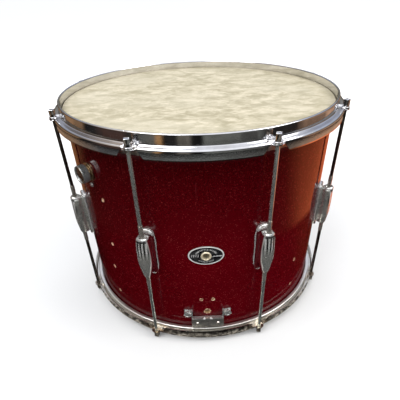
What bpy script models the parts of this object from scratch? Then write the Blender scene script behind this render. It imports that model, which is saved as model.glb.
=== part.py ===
"""A fifteen inch field drum, played as a tom, built from its separate parts in metres.

The drum stands upright on its lower hoop. The origin is on the drum's axis at the lower
hoop's edge, +Z is up, and the badge faces -Y. A bearing is measured in degrees about the
axis from -Y towards +X, so a part at bearing 0 has +X to the right of someone facing it.
Heights called "depth" are measured from a hoop's outer edge towards the drum's middle.
"""
import math

import bmesh
import bpy
from mathutils import Matrix, Vector

MM = 0.001
GAP = 0.3 * MM

# The whole drum
HEIGHT = 318.6 * MM
MIDDLE = HEIGHT / 2
RING_STEPS = 48

# Shell and its covering
WRAP_RADIUS = 190.5 * MM
WRAP_THICKNESS = 0.5 * MM
SHELL_RADIUS = WRAP_RADIUS - WRAP_THICKNESS - GAP
SHELL_THICKNESS = 5.8 * MM
BEARING_EDGE_DEPTH = 11.3 * MM
BEARING_EDGE_RADIUS = 187.3 * MM
WRAP_EDGE_DEPTH = 13.9 * MM

# Drumheads
FILM_DEPTH = 10.6 * MM
FILM_THICKNESS = 0.4 * MM
COLLAR_RADIUS = 191.2 * MM
COLLAR_DEPTH = 12.8 * MM
FLESH_HOOP_RADII = (191.5 * MM, 197.4 * MM)
FLESH_HOOP_DEPTHS = (16.0 * MM, 25.0 * MM)

# Pressed steel hoops: a wall folded double, a shoulder with ears, and a skirt
WALL_RADIUS = 194.9 * MM
SKIRT_RADIUS = 203.5 * MM
FOLD_RADIUS = 191.8 * MM
SHEET = 1.5 * MM
SHOULDER_DEPTH = 15.7 * MM
EAR_DEPTH = 14.9 * MM
SKIRT_DEPTH = 25.9 * MM

# Eight tension stations
STATIONS = 8
STATION_STEP = 360 / STATIONS
ROD_CIRCLE = 203.7 * MM
ROD_RADIUS = 2.4 * MM
ROD_STEPS = 8
ROD_END_HEIGHT = 176.8 * MM
KEY_FLANGE = (4.9 * MM, 1.8 * MM)
KEY_HEAD = (6.4 * MM, 9.2 * MM)
EAR_HALF_WIDTH = 7.6 * MM
EAR_REACH = 5.6 * MM
SPOT_FACE_RADIUS = 5.6 * MM
EAR_ROOT = 199.0 * MM
EAR_THICKNESS = 4.0 * MM
EAR_HOLE_RADIUS = 3.2 * MM
NOTCH_WIDTH = 17.0 * MM

# Lugs and their swivel nuts
LUG_BASE_HALF = (11.2 * MM, 35.7 * MM)
LUG_BASE_THICKNESS = 2.0 * MM
LUG_HALF_LENGTH = 32.0 * MM
LUG_RIM_HALF_LENGTH = 29.0 * MM
LUG_FACE_RADIUS = 211.0 * MM
NUT_RADIUS = 3.4 * MM
NUT_BORE_RADIUS = 2.7 * MM
NUT_LOW = 173.6 * MM
NUT_HIGH = 207.3 * MM
LUG_BORE_RADIUS = 3.7 * MM

# Badge and air vent
BADGE_HALF = (23.2 * MM, 14.3 * MM)
BADGE_THICKNESS = 1.0 * MM
VENT_RADIUS = 5.4 * MM

# Tone control
TONE_BEARING = -49.0
TONE_HEIGHT = 250.0 * MM
KNOB_RADIUS = 11.7 * MM
KNOB_FRONT = 204.2 * MM
KNOB_BACK = 194.8 * MM
SPINDLE_RADIUS = 3.5 * MM
SPINDLE_HOLE_RADIUS = 4.2 * MM
CAM_FACES = (169.0 * MM, 173.0 * MM)
CAM_LOW = 5.5 * MM
CAM_LIFT = 6.0 * MM
CAM_TURN = 170.0
ARM_FACES = (176.5 * MM, 178.5 * MM)
ARM_LOW = 232.0 * MM
ARM_TOP = 291.0 * MM
FELT_RADIUS = 22.0 * MM
FELT_CENTRE = 152.0 * MM
FELT_HEIGHT = 8.0 * MM

# Snare butt near the lower hoop
BUTT_BOLT_BEARING = 8.6
BUTT_BOLT_HEIGHT = 53.0 * MM
BUTT_HALF_WIDTH = 23.3 * MM
BUTT_LOW = 29.5 * MM
BUTT_HIGH = 46.8 * MM
BUTT_BAR_FRONT = 196.2 * MM
CLAMP_THICKNESS = 1.5 * MM
CLAMP_SCREW_OFFSET = 15.0 * MM
CLAMP_SCREW_HOLE = 2.0 * MM

# Bare screw holes left by parts that were taken off: bearing, height, radius
BARE_HOLES = (
    (-43.0, 216.0 * MM, 2.0 * MM),
    (-43.0, 145.0 * MM, 2.0 * MM),
    (-45.3, 100.0 * MM, 2.0 * MM),
    (-45.3, 50.0 * MM, 2.0 * MM),
    (44.6, 100.0 * MM, 2.0 * MM),
    (44.6, 50.0 * MM, 2.0 * MM),
    (-2.5, 79.0 * MM, 2.2 * MM),
    (2.5, 79.0 * MM, 2.2 * MM),
    (0.0, 55.0 * MM, 4.5 * MM),
)

COLOURS = {
    "wood": ((0.55, 0.36, 0.18), 0.6, 0.0),
    "sparkle": ((0.26, 0.01, 0.02), 0.2, 0.0),
    "chrome": ((0.80, 0.80, 0.82), 0.1, 1.0),
    "aluminium": ((0.78, 0.78, 0.78), 0.35, 1.0),
    "film": ((0.80, 0.74, 0.58), 0.5, 0.0),
    "enamel": ((0.02, 0.02, 0.02), 0.25, 0.0),
    "brass": ((0.75, 0.60, 0.35), 0.25, 1.0),
    "steel": ((0.35, 0.34, 0.32), 0.4, 1.0),
    "felt": ((0.75, 0.72, 0.66), 0.95, 0.0),
}


def clear_scene():
    for item in list(bpy.data.objects):
        bpy.data.objects.remove(item, do_unlink=True)


def make_material(slot):
    colour, roughness, metallic = COLOURS[slot]
    material = bpy.data.materials.new(slot)
    material.use_nodes = True
    shader = material.node_tree.nodes["Principled BSDF"]
    shader.inputs["Base Color"].default_value = (*colour, 1.0)
    shader.inputs["Roughness"].default_value = roughness
    shader.inputs["Metallic"].default_value = metallic
    return material


def on_bearing(radius, bearing, height=0.0):
    angle = math.radians(bearing)
    return Vector((radius * math.sin(angle), -radius * math.cos(angle), height))


def turn_to(bearing):
    return Matrix.Rotation(math.radians(bearing), 4, "Z")


def station_bearings():
    return [STATION_STEP * (index + 0.5) for index in range(STATIONS)]


def add_object(name, mesh, home, slot=None):
    item = bpy.data.objects.new(name, mesh)
    home.objects.link(item)
    if slot and not mesh.materials:
        mesh.materials.append(materials[slot])
    return item


def settle(item):
    """Replace an object's mesh by its evaluated mesh, shaded smooth up to 35 degrees."""
    bpy.context.view_layer.update()
    evaluated = item.evaluated_get(bpy.context.evaluated_depsgraph_get())
    mesh = bpy.data.meshes.new_from_object(evaluated)
    mesh.name = item.name
    item.modifiers.clear()
    item.data = mesh
    mesh.shade_smooth()
    mesh.set_sharp_from_angle(angle=math.radians(35))
    return item


def turned_mesh(name, profile, steps, ring=True, slot=None, home=None):
    """Turn a profile of (radius, height) points about Z; a ring's profile is a closed loop."""
    mesh = bpy.data.meshes.new(name)
    count = len(profile)
    edges = [(index, index + 1) for index in range(count - 1)]
    if ring:
        edges.append((count - 1, 0))
    mesh.from_pydata([(radius, 0.0, height) for radius, height in profile], edges, [])
    item = add_object(name, mesh, home or parts, slot)
    screw = item.modifiers.new("turn", "SCREW")
    screw.axis = "Z"
    screw.steps = steps
    screw.render_steps = steps
    screw.use_merge_vertices = True
    screw.merge_threshold = 0.00001
    return settle(item)


def upside_down(profile):
    """The same profile for the lower end of the drum."""
    return [(radius, HEIGHT - height) for radius, height in reversed(profile)]


def box(name, low, high, home):
    """A box between two corners."""
    mesh = bpy.data.meshes.new(name)
    shape = bmesh.new()
    bmesh.ops.create_cube(shape, size=1.0)
    centre = [(a + b) / 2 for a, b in zip(low, high)]
    size = [b - a for a, b in zip(low, high)]
    bmesh.ops.scale(shape, vec=size, verts=shape.verts)
    bmesh.ops.translate(shape, vec=centre, verts=shape.verts)
    shape.to_mesh(mesh)
    shape.free()
    return add_object(name, mesh, home)


def rod(name, radius, low, high, steps, home):
    """A plain round bar along Z."""
    mesh = bpy.data.meshes.new(name)
    shape = bmesh.new()
    bmesh.ops.create_cone(
        shape, cap_ends=True, segments=steps, radius1=radius, radius2=radius, depth=high - low
    )
    bmesh.ops.translate(shape, vec=(0, 0, (low + high) / 2), verts=shape.verts)
    shape.to_mesh(mesh)
    shape.free()
    return add_object(name, mesh, home)


def plate(name, outline, low, high, home):
    """A flat outline in X and Y, given thickness along Z."""
    curve = bpy.data.curves.new(name, "CURVE")
    curve.dimensions = "2D"
    curve.fill_mode = "BOTH"
    curve.extrude = (high - low) / 2
    spline = curve.splines.new("POLY")
    spline.points.add(len(outline) - 1)
    for point, (x, y) in zip(spline.points, outline):
        point.co = (x, y, 0.0, 1.0)
    spline.use_cyclic_u = True
    guide = bpy.data.objects.new(name, curve)
    home.objects.link(guide)
    bpy.context.view_layer.update()
    evaluated = guide.evaluated_get(bpy.context.evaluated_depsgraph_get())
    mesh = bpy.data.meshes.new_from_object(evaluated)
    bpy.data.objects.remove(guide)
    shape = bmesh.new()
    shape.from_mesh(mesh)
    bmesh.ops.remove_doubles(shape, verts=shape.verts, dist=0.00001)
    bmesh.ops.recalc_face_normals(shape, faces=shape.faces)
    bmesh.ops.translate(shape, vec=(0, 0, (low + high) / 2), verts=shape.verts)
    shape.to_mesh(mesh)
    shape.free()
    return add_object(name, mesh, home)


def move_mesh(item, matrix):
    item.data.transform(matrix)
    return item


def gather(name, items, home):
    """Put several tools into one object, to cut or join in a single step."""
    mesh = bpy.data.meshes.new(name)
    shape = bmesh.new()
    for item in items:
        shape.from_mesh(item.data)
        bpy.data.objects.remove(item)
    shape.to_mesh(mesh)
    shape.free()
    return add_object(name, mesh, home)


def around_stations(name, make_tool, home):
    """One tool at each tension station, made at bearing 0 and turned into place."""
    tools = []
    for bearing in station_bearings():
        tools.append(move_mesh(make_tool(), turn_to(bearing)))
    return gather(name, tools, home)


def apply_boolean(item, tool, operation):
    """Cut or join with a tool, which stays in the tools' collection as a wire guide."""
    tool.hide_render = True
    tool.display_type = "WIRE"
    boolean = item.modifiers.new(operation.lower(), "BOOLEAN")
    boolean.operation = operation
    boolean.object = tool
    boolean.solver = "EXACT"
    return settle(item)


def facing_out(item, bearing, height):
    """Stand an object whose Z axis points out of the shell at a bearing and height."""
    item.rotation_euler = (math.pi / 2, 0.0, math.radians(bearing))
    item.location = (0.0, 0.0, height)
    return item


def radial_hole(bearing, height, radius, steps=8):
    """A bar through the shell wall, pointing outwards."""
    tool = rod("hole", radius, 175 * MM, 200 * MM, steps, tools_home)
    upright = Matrix.Rotation(math.pi / 2, 4, "X")
    place = Matrix.Translation((0, 0, height)) @ turn_to(bearing) @ upright
    return move_mesh(tool, place)


def shell_holes(name):
    holes = [radial_hole(*hole) for hole in BARE_HOLES]
    holes.append(radial_hole(0.0, MIDDLE, VENT_RADIUS, 12))
    holes.append(radial_hole(TONE_BEARING, TONE_HEIGHT, SPINDLE_HOLE_RADIUS, 12))
    for side in (-1, 1):
        holes.append(radial_hole(side * BUTT_BOLT_BEARING, BUTT_BOLT_HEIGHT, 2.8 * MM))
    return gather(name, holes, tools_home)


def make_shell():
    inner = SHELL_RADIUS - SHELL_THICKNESS
    round_over = SHELL_RADIUS - BEARING_EDGE_RADIUS
    inner_cut = BEARING_EDGE_RADIUS - inner
    upper = [
        (BEARING_EDGE_RADIUS, HEIGHT - BEARING_EDGE_DEPTH),
        (SHELL_RADIUS, HEIGHT - BEARING_EDGE_DEPTH - round_over),
    ]
    inside = [(inner, HEIGHT - BEARING_EDGE_DEPTH - inner_cut)]
    profile = upper + upside_down(upper) + upside_down(inside) + inside
    shell = turned_mesh("shell", profile, RING_STEPS, slot="wood")
    return apply_boolean(shell, shell_holes("shell_holes"), "DIFFERENCE")


def make_wrap():
    inner = WRAP_RADIUS - WRAP_THICKNESS
    profile = [
        (WRAP_RADIUS, HEIGHT - WRAP_EDGE_DEPTH),
        (WRAP_RADIUS, WRAP_EDGE_DEPTH),
        (inner, WRAP_EDGE_DEPTH),
        (inner, HEIGHT - WRAP_EDGE_DEPTH),
    ]
    wrap = turned_mesh("shell_wrap", profile, RING_STEPS, slot="sparkle")
    return apply_boolean(wrap, shell_holes("wrap_holes"), "DIFFERENCE")


def head_profile():
    flat = HEIGHT - FILM_DEPTH
    inner = COLLAR_RADIUS - FILM_THICKNESS
    across = 3.4 * MM
    shoulder = 1.6 * MM
    return [
        (0.0, flat),
        (COLLAR_RADIUS - across, flat),
        (COLLAR_RADIUS, flat - shoulder),
        (COLLAR_RADIUS, HEIGHT - COLLAR_DEPTH),
        (inner, HEIGHT - COLLAR_DEPTH),
        (inner, flat - shoulder),
        (inner - across, flat - FILM_THICKNESS),
        (0.0, flat - FILM_THICKNESS),
    ]


def flesh_hoop_profile():
    inner, outer = FLESH_HOOP_RADII
    top, bottom = (HEIGHT - depth for depth in FLESH_HOOP_DEPTHS)
    return [(outer, top), (outer, bottom), (inner, bottom), (inner, top)]


def hoop_profile():
    """Section of the pressed hoop: the doubled wall, the shoulder and the skirt."""
    inside_skirt = SKIRT_RADIUS - SHEET
    roll = 1.0 * MM
    outside = [
        (FOLD_RADIUS + roll, 0.0),
        (WALL_RADIUS - roll, 0.0),
        (WALL_RADIUS, roll),
        (WALL_RADIUS, SHOULDER_DEPTH - 3.4 * MM),
        (WALL_RADIUS + 2.0 * MM, SHOULDER_DEPTH - 2.6 * MM),
        (SKIRT_RADIUS - 2.0 * MM, SHOULDER_DEPTH - 0.8 * MM),
        (SKIRT_RADIUS, SHOULDER_DEPTH + 2.4 * MM),
        (SKIRT_RADIUS, SKIRT_DEPTH),
    ]
    inside = [
        (inside_skirt, SKIRT_DEPTH),
        (inside_skirt, SHOULDER_DEPTH + 2.4 * MM),
        (inside_skirt - 2.0 * MM, SHOULDER_DEPTH),
        (FOLD_RADIUS, SHOULDER_DEPTH),
        (FOLD_RADIUS, roll),
    ]
    return [(radius, HEIGHT - depth) for radius, depth in outside + inside]


def notch_tool():
    """Clears the skirt under one ear, at bearing 0."""
    top = HEIGHT - EAR_DEPTH - EAR_THICKNESS + 0.6 * MM
    low = (-NOTCH_WIDTH / 2, -SKIRT_RADIUS - MM, HEIGHT - SKIRT_DEPTH - MM)
    high = (NOTCH_WIDTH / 2, -SKIRT_RADIUS + 2.2 * MM, top)
    return box("notch", low, high, tools_home)


def ear_tool():
    """One ear at bearing 0: a round-ended pad that carries a key rod."""
    outline = [
        (EAR_HALF_WIDTH + 1.5 * MM, -EAR_ROOT),
        (-EAR_HALF_WIDTH - 1.5 * MM, -EAR_ROOT),
    ]
    for step in range(9):
        angle = math.pi * step / 8
        x = -EAR_HALF_WIDTH * math.cos(angle)
        outline.append((x, -ROD_CIRCLE - EAR_REACH * math.sin(angle)))
    top = HEIGHT - EAR_DEPTH
    return plate("ear", outline, top - EAR_THICKNESS, top, tools_home)


def ear_hole_tool():
    low = HEIGHT - EAR_DEPTH - 2 * EAR_THICKNESS
    tool = rod("ear_hole", EAR_HOLE_RADIUS, low, HEIGHT - 5 * MM, 8, tools_home)
    return move_mesh(tool, Matrix.Translation((0, -ROD_CIRCLE, 0)))


def spot_face_tool():
    """Sinks a flat seat for the key head's flange into the hoop's shoulder."""
    low = HEIGHT - EAR_DEPTH
    tool = rod("spot_face", SPOT_FACE_RADIUS, low, HEIGHT - 5 * MM, 12, tools_home)
    return move_mesh(tool, Matrix.Translation((0, -ROD_CIRCLE, 0)))


def make_hoops():
    """The upper hoop, and the same pressing turned over at the other end."""
    hoop = turned_mesh("top_hoop", hoop_profile(), RING_STEPS, slot="chrome")
    notches = around_stations("hoop_notches", notch_tool, tools_home)
    apply_boolean(hoop, notches, "DIFFERENCE")
    apply_boolean(hoop, around_stations("hoop_ears", ear_tool, tools_home), "UNION")
    seats = around_stations("hoop_spot_faces", spot_face_tool, tools_home)
    apply_boolean(hoop, seats, "DIFFERENCE")
    holes = around_stations("hoop_ear_holes", ear_hole_tool, tools_home)
    apply_boolean(hoop, holes, "DIFFERENCE")
    lower = add_object("bottom_hoop", hoop.data, parts)
    turn_over(lower)


def turn_over(item):
    """Turn an upper-end object end over end about the drum's middle, across X."""
    flip = Matrix.Translation((0, 0, HEIGHT)) @ Matrix.Rotation(math.pi, 4, "X")
    item.matrix_world = flip @ item.matrix_world


def make_ends():
    for end, place in (("top", lambda profile: profile), ("bottom", upside_down)):
        turned_mesh(end + "_head", place(head_profile()), RING_STEPS, ring=False, slot="film")
        turned_mesh(end + "_flesh_hoop", place(flesh_hoop_profile()), RING_STEPS, slot="aluminium")


def make_key_rod():
    """A rod's mesh, with its origin on its axis under the key head's flange."""
    flange_radius, flange_height = KEY_FLANGE
    length = HEIGHT - EAR_DEPTH + GAP - ROD_END_HEIGHT
    profile = [
        (0.0, flange_height),
        (flange_radius, flange_height),
        (flange_radius, 0.0),
        (ROD_RADIUS, 0.0),
        (ROD_RADIUS, -length),
        (0.0, -length),
    ]
    shank = turned_mesh("key_rod", profile, ROD_STEPS, ring=False, slot="chrome")
    half = KEY_HEAD[0] / 2
    top = flange_height + KEY_HEAD[1]
    head = box("key_head", (-half, -half, flange_height / 2), (half, half, top), tools_home)
    return apply_boolean(shank, head, "UNION")


def make_rods_and_nuts():
    pattern = make_key_rod()
    nut_profile = [
        (NUT_RADIUS, NUT_HIGH),
        (NUT_RADIUS, NUT_LOW),
        (NUT_BORE_RADIUS, NUT_LOW),
        (NUT_BORE_RADIUS, NUT_HIGH),
    ]
    nut = turned_mesh("nut", nut_profile, ROD_STEPS, slot="chrome")
    seat = HEIGHT - EAR_DEPTH + GAP
    for number, bearing in enumerate(station_bearings(), 1):
        for end in ("top", "bottom"):
            key_rod = add_object(f"{end}_tension_rod_{number}", pattern.data, parts)
            key_rod.location = on_bearing(ROD_CIRCLE, bearing, seat)
            sleeve = add_object(f"{end}_swivel_nut_{number}", nut.data, parts)
            sleeve.location = on_bearing(ROD_CIRCLE, bearing)
            if end == "bottom":
                for item in (key_rod, sleeve):
                    item.rotation_euler = (math.pi, 0.0, 0.0)
                    item.location.z = HEIGHT - item.location.z
    bpy.data.objects.remove(pattern)
    bpy.data.objects.remove(nut)


def lug_section(height):
    """Points round the lug casting at a height from its middle, as (sideways, -radius)."""
    along = abs(height) / LUG_HALF_LENGTH
    narrowing = along ** 2.2
    face = (10.0 - 2.3 * narrowing) * MM
    waist = (7.4 - 1.4 * narrowing) * MM
    root = (9.6 - 2.4 * narrowing) * MM
    crown = LUG_FACE_RADIUS - 0.8 * MM * along ** 2
    if abs(height) > LUG_RIM_HALF_LENGTH:
        face -= 1.2 * MM
        crown -= 1.5 * MM
    half = [
        (root, WRAP_RADIUS + GAP + MM),
        (waist, 198.0 * MM),
        (face, 203.5 * MM),
        (face * 0.92, crown - 1.8 * MM),
        (face * 0.45, crown),
    ]
    left = [(-side, radius) for side, radius in reversed(half)]
    return [(side, -radius) for side, radius in half + left]


def lug_body():
    """The lug's casting lofted through its sections, from its lower end to its upper end."""
    heights = [0.0, 12.0 * MM, 22.0 * MM, LUG_RIM_HALF_LENGTH, LUG_HALF_LENGTH]
    heights = [-height for height in reversed(heights[1:])] + heights
    mesh = bpy.data.meshes.new("lug")
    shape = bmesh.new()
    rings = []
    for height in heights:
        rings.append([shape.verts.new((x, y, height)) for x, y in lug_section(height)])
    for lower, upper in zip(rings, rings[1:]):
        for index in range(len(lower)):
            after = (index + 1) % len(lower)
            shape.faces.new((lower[index], lower[after], upper[after], upper[index]))
    shape.faces.new(list(reversed(rings[0])))
    shape.faces.new(rings[-1])
    bmesh.ops.recalc_face_normals(shape, faces=shape.faces)
    shape.to_mesh(mesh)
    shape.free()
    return add_object("lug", mesh, parts, "chrome")


def lug_base_tool():
    """The flange that bears on the shell: a barrel-sided plate with round corners."""
    half_width, half_height = LUG_BASE_HALF
    outline = []
    for step in range(20):
        angle = 2 * math.pi * (step + 0.5) / 20
        across, along = math.cos(angle), math.sin(angle)
        x = math.copysign(abs(across) ** 0.4, across) * half_width
        outline.append((x, math.copysign(abs(along) ** 0.4, along) * half_height))
    back = WRAP_RADIUS + GAP
    tool = plate("lug_base", outline, back, back + LUG_BASE_THICKNESS, tools_home)
    return move_mesh(tool, Matrix.Rotation(math.pi / 2, 4, "X"))


def lug_bores_tool():
    """Blind bores for the two swivel nuts."""
    reach = NUT_LOW - GAP - MIDDLE
    out = LUG_HALF_LENGTH + 5 * MM
    bores = []
    for low, high in ((reach, out), (-out, -reach)):
        bore = rod("bore", LUG_BORE_RADIUS, low, high, 8, tools_home)
        bores.append(move_mesh(bore, Matrix.Translation((0, -ROD_CIRCLE, 0))))
    return gather("lug_bores", bores, tools_home)


def make_lugs():
    pattern = lug_body()
    apply_boolean(pattern, lug_base_tool(), "UNION")
    apply_boolean(pattern, lug_bores_tool(), "DIFFERENCE")
    for number, bearing in enumerate(station_bearings(), 1):
        lug = add_object(f"lug_{number}", pattern.data, parts)
        lug.location = (0.0, 0.0, MIDDLE)
        lug.rotation_euler = (0.0, 0.0, math.radians(bearing))
    bpy.data.objects.remove(pattern)


def make_badge():
    """An oval cut from a thin tube, so it follows the shell, with a hole for the vent."""
    inner = WRAP_RADIUS + GAP
    outer = inner + BADGE_THICKNESS
    reach = BADGE_HALF[1] + 5 * MM
    profile = [
        (outer, MIDDLE + reach),
        (outer, MIDDLE - reach),
        (inner, MIDDLE - reach),
        (inner, MIDDLE + reach),
    ]
    badge = turned_mesh("badge", profile, 144, slot="enamel")
    outline = []
    for step in range(32):
        angle = 2 * math.pi * step / 32
        x = BADGE_HALF[0] * math.cos(angle)
        outline.append((x, BADGE_HALF[1] * math.sin(angle)))
    oval = plate("badge_oval", outline, 170 * MM, 200 * MM, tools_home)
    upright = Matrix.Translation((0, 0, MIDDLE)) @ Matrix.Rotation(math.pi / 2, 4, "X")
    apply_boolean(badge, move_mesh(oval, upright), "INTERSECT")
    vent = radial_hole(0.0, MIDDLE, VENT_RADIUS, 12)
    vent.name = "badge_vent"
    return apply_boolean(badge, vent, "DIFFERENCE")


def make_grommet():
    """The flanged vent tube that holds the badge, rolled over inside the shell."""
    face = WRAP_RADIUS + BADGE_THICKNESS + 2 * GAP
    inside = SHELL_RADIUS - SHELL_THICKNESS - 0.8 * MM
    barrel = VENT_RADIUS - 0.4 * MM
    bore = barrel - 0.4 * MM
    profile = [
        (7.0 * MM, face + MM),
        (7.0 * MM, face),
        (barrel, face),
        (barrel, inside),
        (6.6 * MM, inside),
        (6.6 * MM, inside - MM),
        (bore, inside - MM),
        (bore, face + MM),
    ]
    grommet = turned_mesh("vent_grommet", profile, 12, slot="brass")
    return facing_out(grommet, 0.0, MIDDLE)


def make_tone_collar():
    back = WRAP_RADIUS + GAP
    bore = SPINDLE_RADIUS + 0.5 * MM
    profile = [
        (9.5 * MM, KNOB_BACK - GAP),
        (9.5 * MM, 192.8 * MM),
        (12.8 * MM, 192.3 * MM),
        (12.8 * MM, back),
        (bore, back),
        (bore, KNOB_BACK - GAP),
    ]
    collar = turned_mesh("tone_control_collar", profile, 16, slot="chrome")
    return facing_out(collar, TONE_BEARING, TONE_HEIGHT)


def cam_radius(turn):
    """Radius of the cam at an angle in degrees anticlockwise of its top, seen from outside."""
    if turn <= CAM_TURN:
        return CAM_LOW + CAM_LIFT * turn / CAM_TURN
    return CAM_LOW


def make_tone_knob():
    """The knob, its spindle through the shell, and the cam that lifts the felt's arm."""
    recess = 1.6 * MM
    profile = [
        (0.0, KNOB_FRONT - recess),
        (9.6 * MM, KNOB_FRONT - recess),
        (10.2 * MM, KNOB_FRONT),
        (11.3 * MM, KNOB_FRONT),
        (KNOB_RADIUS, KNOB_FRONT - 0.8 * MM),
        (KNOB_RADIUS, KNOB_BACK),
        (SPINDLE_RADIUS, KNOB_BACK),
        (SPINDLE_RADIUS, CAM_FACES[0]),
        (0.0, CAM_FACES[0]),
    ]
    knob = turned_mesh("tone_control_knob", profile, 16, ring=False, slot="chrome")
    outline = []
    for turn in list(range(0, 171, 17)) + list(range(200, 360, 32)):
        angle = math.radians(turn)
        radius = cam_radius(turn)
        outline.append((-radius * math.sin(angle), radius * math.cos(angle)))
    cam = plate("cam", outline, CAM_FACES[0] - MM, CAM_FACES[1], tools_home)
    apply_boolean(knob, cam, "UNION")
    return facing_out(knob, TONE_BEARING, TONE_HEIGHT)


def make_muffler():
    """The strip that carries the felt, slotted for the spindle, and the felt pad on it."""
    near, far = ARM_FACES
    arm = box("muffler_arm", (-8 * MM, -far, ARM_LOW), (8 * MM, -near, ARM_TOP), parts)
    arm.data.materials.append(materials["steel"])
    shelf_low = ARM_TOP - 2 * MM
    shelf = box(
        "muffler_shelf",
        (-8 * MM, -far + 0.2 * MM, shelf_low),
        (8 * MM, -FELT_CENTRE + 10 * MM, ARM_TOP),
        tools_home,
    )
    apply_boolean(arm, shelf, "UNION")
    follower_low = TONE_HEIGHT + CAM_LOW + 0.8 * MM
    follower = box(
        "muffler_follower",
        (-3 * MM, -near - MM, follower_low),
        (3 * MM, -CAM_FACES[0] + 0.5 * MM, follower_low + 2 * MM),
        tools_home,
    )
    apply_boolean(arm, follower, "UNION")
    clear = SPINDLE_RADIUS + MM
    slot = box(
        "muffler_slot",
        (-clear, -far - MM, TONE_HEIGHT - CAM_LIFT - clear),
        (clear, -near + MM, TONE_HEIGHT + clear),
        tools_home,
    )
    apply_boolean(arm, slot, "DIFFERENCE")
    arm.rotation_euler = (0.0, 0.0, math.radians(TONE_BEARING))
    felt_low = ARM_TOP + GAP
    profile = [
        (0.0, felt_low + FELT_HEIGHT),
        (FELT_RADIUS - MM, felt_low + FELT_HEIGHT),
        (FELT_RADIUS, felt_low + FELT_HEIGHT - MM),
        (FELT_RADIUS, felt_low),
        (0.0, felt_low),
    ]
    felt = turned_mesh("muffler_felt", profile, 20, ring=False, slot="felt")
    felt.location = on_bearing(FELT_CENTRE, TONE_BEARING)


def make_butt_bracket():
    """A bar behind the clamp plate, with two upright arms that end in bolted feet."""
    back = WRAP_RADIUS + 0.6 * MM
    arm_inner = BUTT_HALF_WIDTH - 1.8 * MM
    bar = box(
        "butt_bracket",
        (-BUTT_HALF_WIDTH, -BUTT_BAR_FRONT, BUTT_LOW),
        (BUTT_HALF_WIDTH, -back, BUTT_HIGH - MM),
        parts,
    )
    bar.data.materials.append(materials["steel"])
    for side in (-1, 1):
        inner, outer = sorted((side * arm_inner, side * BUTT_HALF_WIDTH))
        low = (inner, -BUTT_BAR_FRONT, BUTT_LOW + MM)
        high = (outer, -back + MM, 60 * MM)
        apply_boolean(bar, box(f"butt_arm_{side}", low, high, tools_home), "UNION")
        near, far = sorted((-side * 6.7 * MM, side * 5.2 * MM))
        foot = box(
            f"butt_foot_{side}",
            (near, -WRAP_RADIUS - 2.0 * MM, 45.5 * MM),
            (far, -WRAP_RADIUS - 0.5 * MM, 58.5 * MM),
            tools_home,
        )
        move_mesh(foot, turn_to(side * BUTT_BOLT_BEARING))
        apply_boolean(bar, foot, "UNION")
        hole = radial_hole(side * BUTT_BOLT_BEARING, BUTT_BOLT_HEIGHT, 2.8 * MM)
        hole.name = f"butt_bolt_hole_{side}"
        apply_boolean(bar, hole, "DIFFERENCE")
    apply_boolean(bar, clamp_screw_holes("bracket_screw_holes", 194.0 * MM), "DIFFERENCE")


def clamp_screw_holes(name, floor):
    """Two bars along the screws' axes, from a radius outwards."""
    holes = []
    height = (BUTT_LOW + BUTT_HIGH) / 2
    for side in (-1, 1):
        hole = rod("screw_hole", CLAMP_SCREW_HOLE, floor, 205 * MM, 8, tools_home)
        place = Matrix.Translation((side * CLAMP_SCREW_OFFSET, 0, height))
        holes.append(move_mesh(hole, place @ Matrix.Rotation(math.pi / 2, 4, "X")))
    return gather(name, holes, tools_home)


def make_clamp_plate():
    """The plate that grips the snares' end, with two short prongs on its upper edge."""
    back = BUTT_BAR_FRONT + GAP
    front = back + CLAMP_THICKNESS
    outline = [
        (-BUTT_HALF_WIDTH, BUTT_LOW + 2 * MM),
        (-BUTT_HALF_WIDTH + 2 * MM, BUTT_LOW),
        (BUTT_HALF_WIDTH - 2 * MM, BUTT_LOW),
        (BUTT_HALF_WIDTH, BUTT_LOW + 2 * MM),
        (BUTT_HALF_WIDTH, BUTT_HIGH - 2 * MM),
        (BUTT_HALF_WIDTH - 2 * MM, BUTT_HIGH),
        (7.0 * MM, BUTT_HIGH),
        (4.4 * MM, BUTT_HIGH + 4 * MM),
        (2.4 * MM, BUTT_HIGH + 4 * MM),
        (3.6 * MM, BUTT_HIGH),
        (-3.6 * MM, BUTT_HIGH),
        (-2.4 * MM, BUTT_HIGH + 4 * MM),
        (-4.4 * MM, BUTT_HIGH + 4 * MM),
        (-7.0 * MM, BUTT_HIGH),
        (-BUTT_HALF_WIDTH + 2 * MM, BUTT_HIGH),
        (-BUTT_HALF_WIDTH, BUTT_HIGH - 2 * MM),
    ]
    clamp = plate("butt_clamp_plate", outline, back, front, parts)
    clamp.data.materials.append(materials["steel"])
    move_mesh(clamp, Matrix.Rotation(math.pi / 2, 4, "X"))
    apply_boolean(clamp, clamp_screw_holes("plate_screw_holes", 190.0 * MM), "DIFFERENCE")


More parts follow.
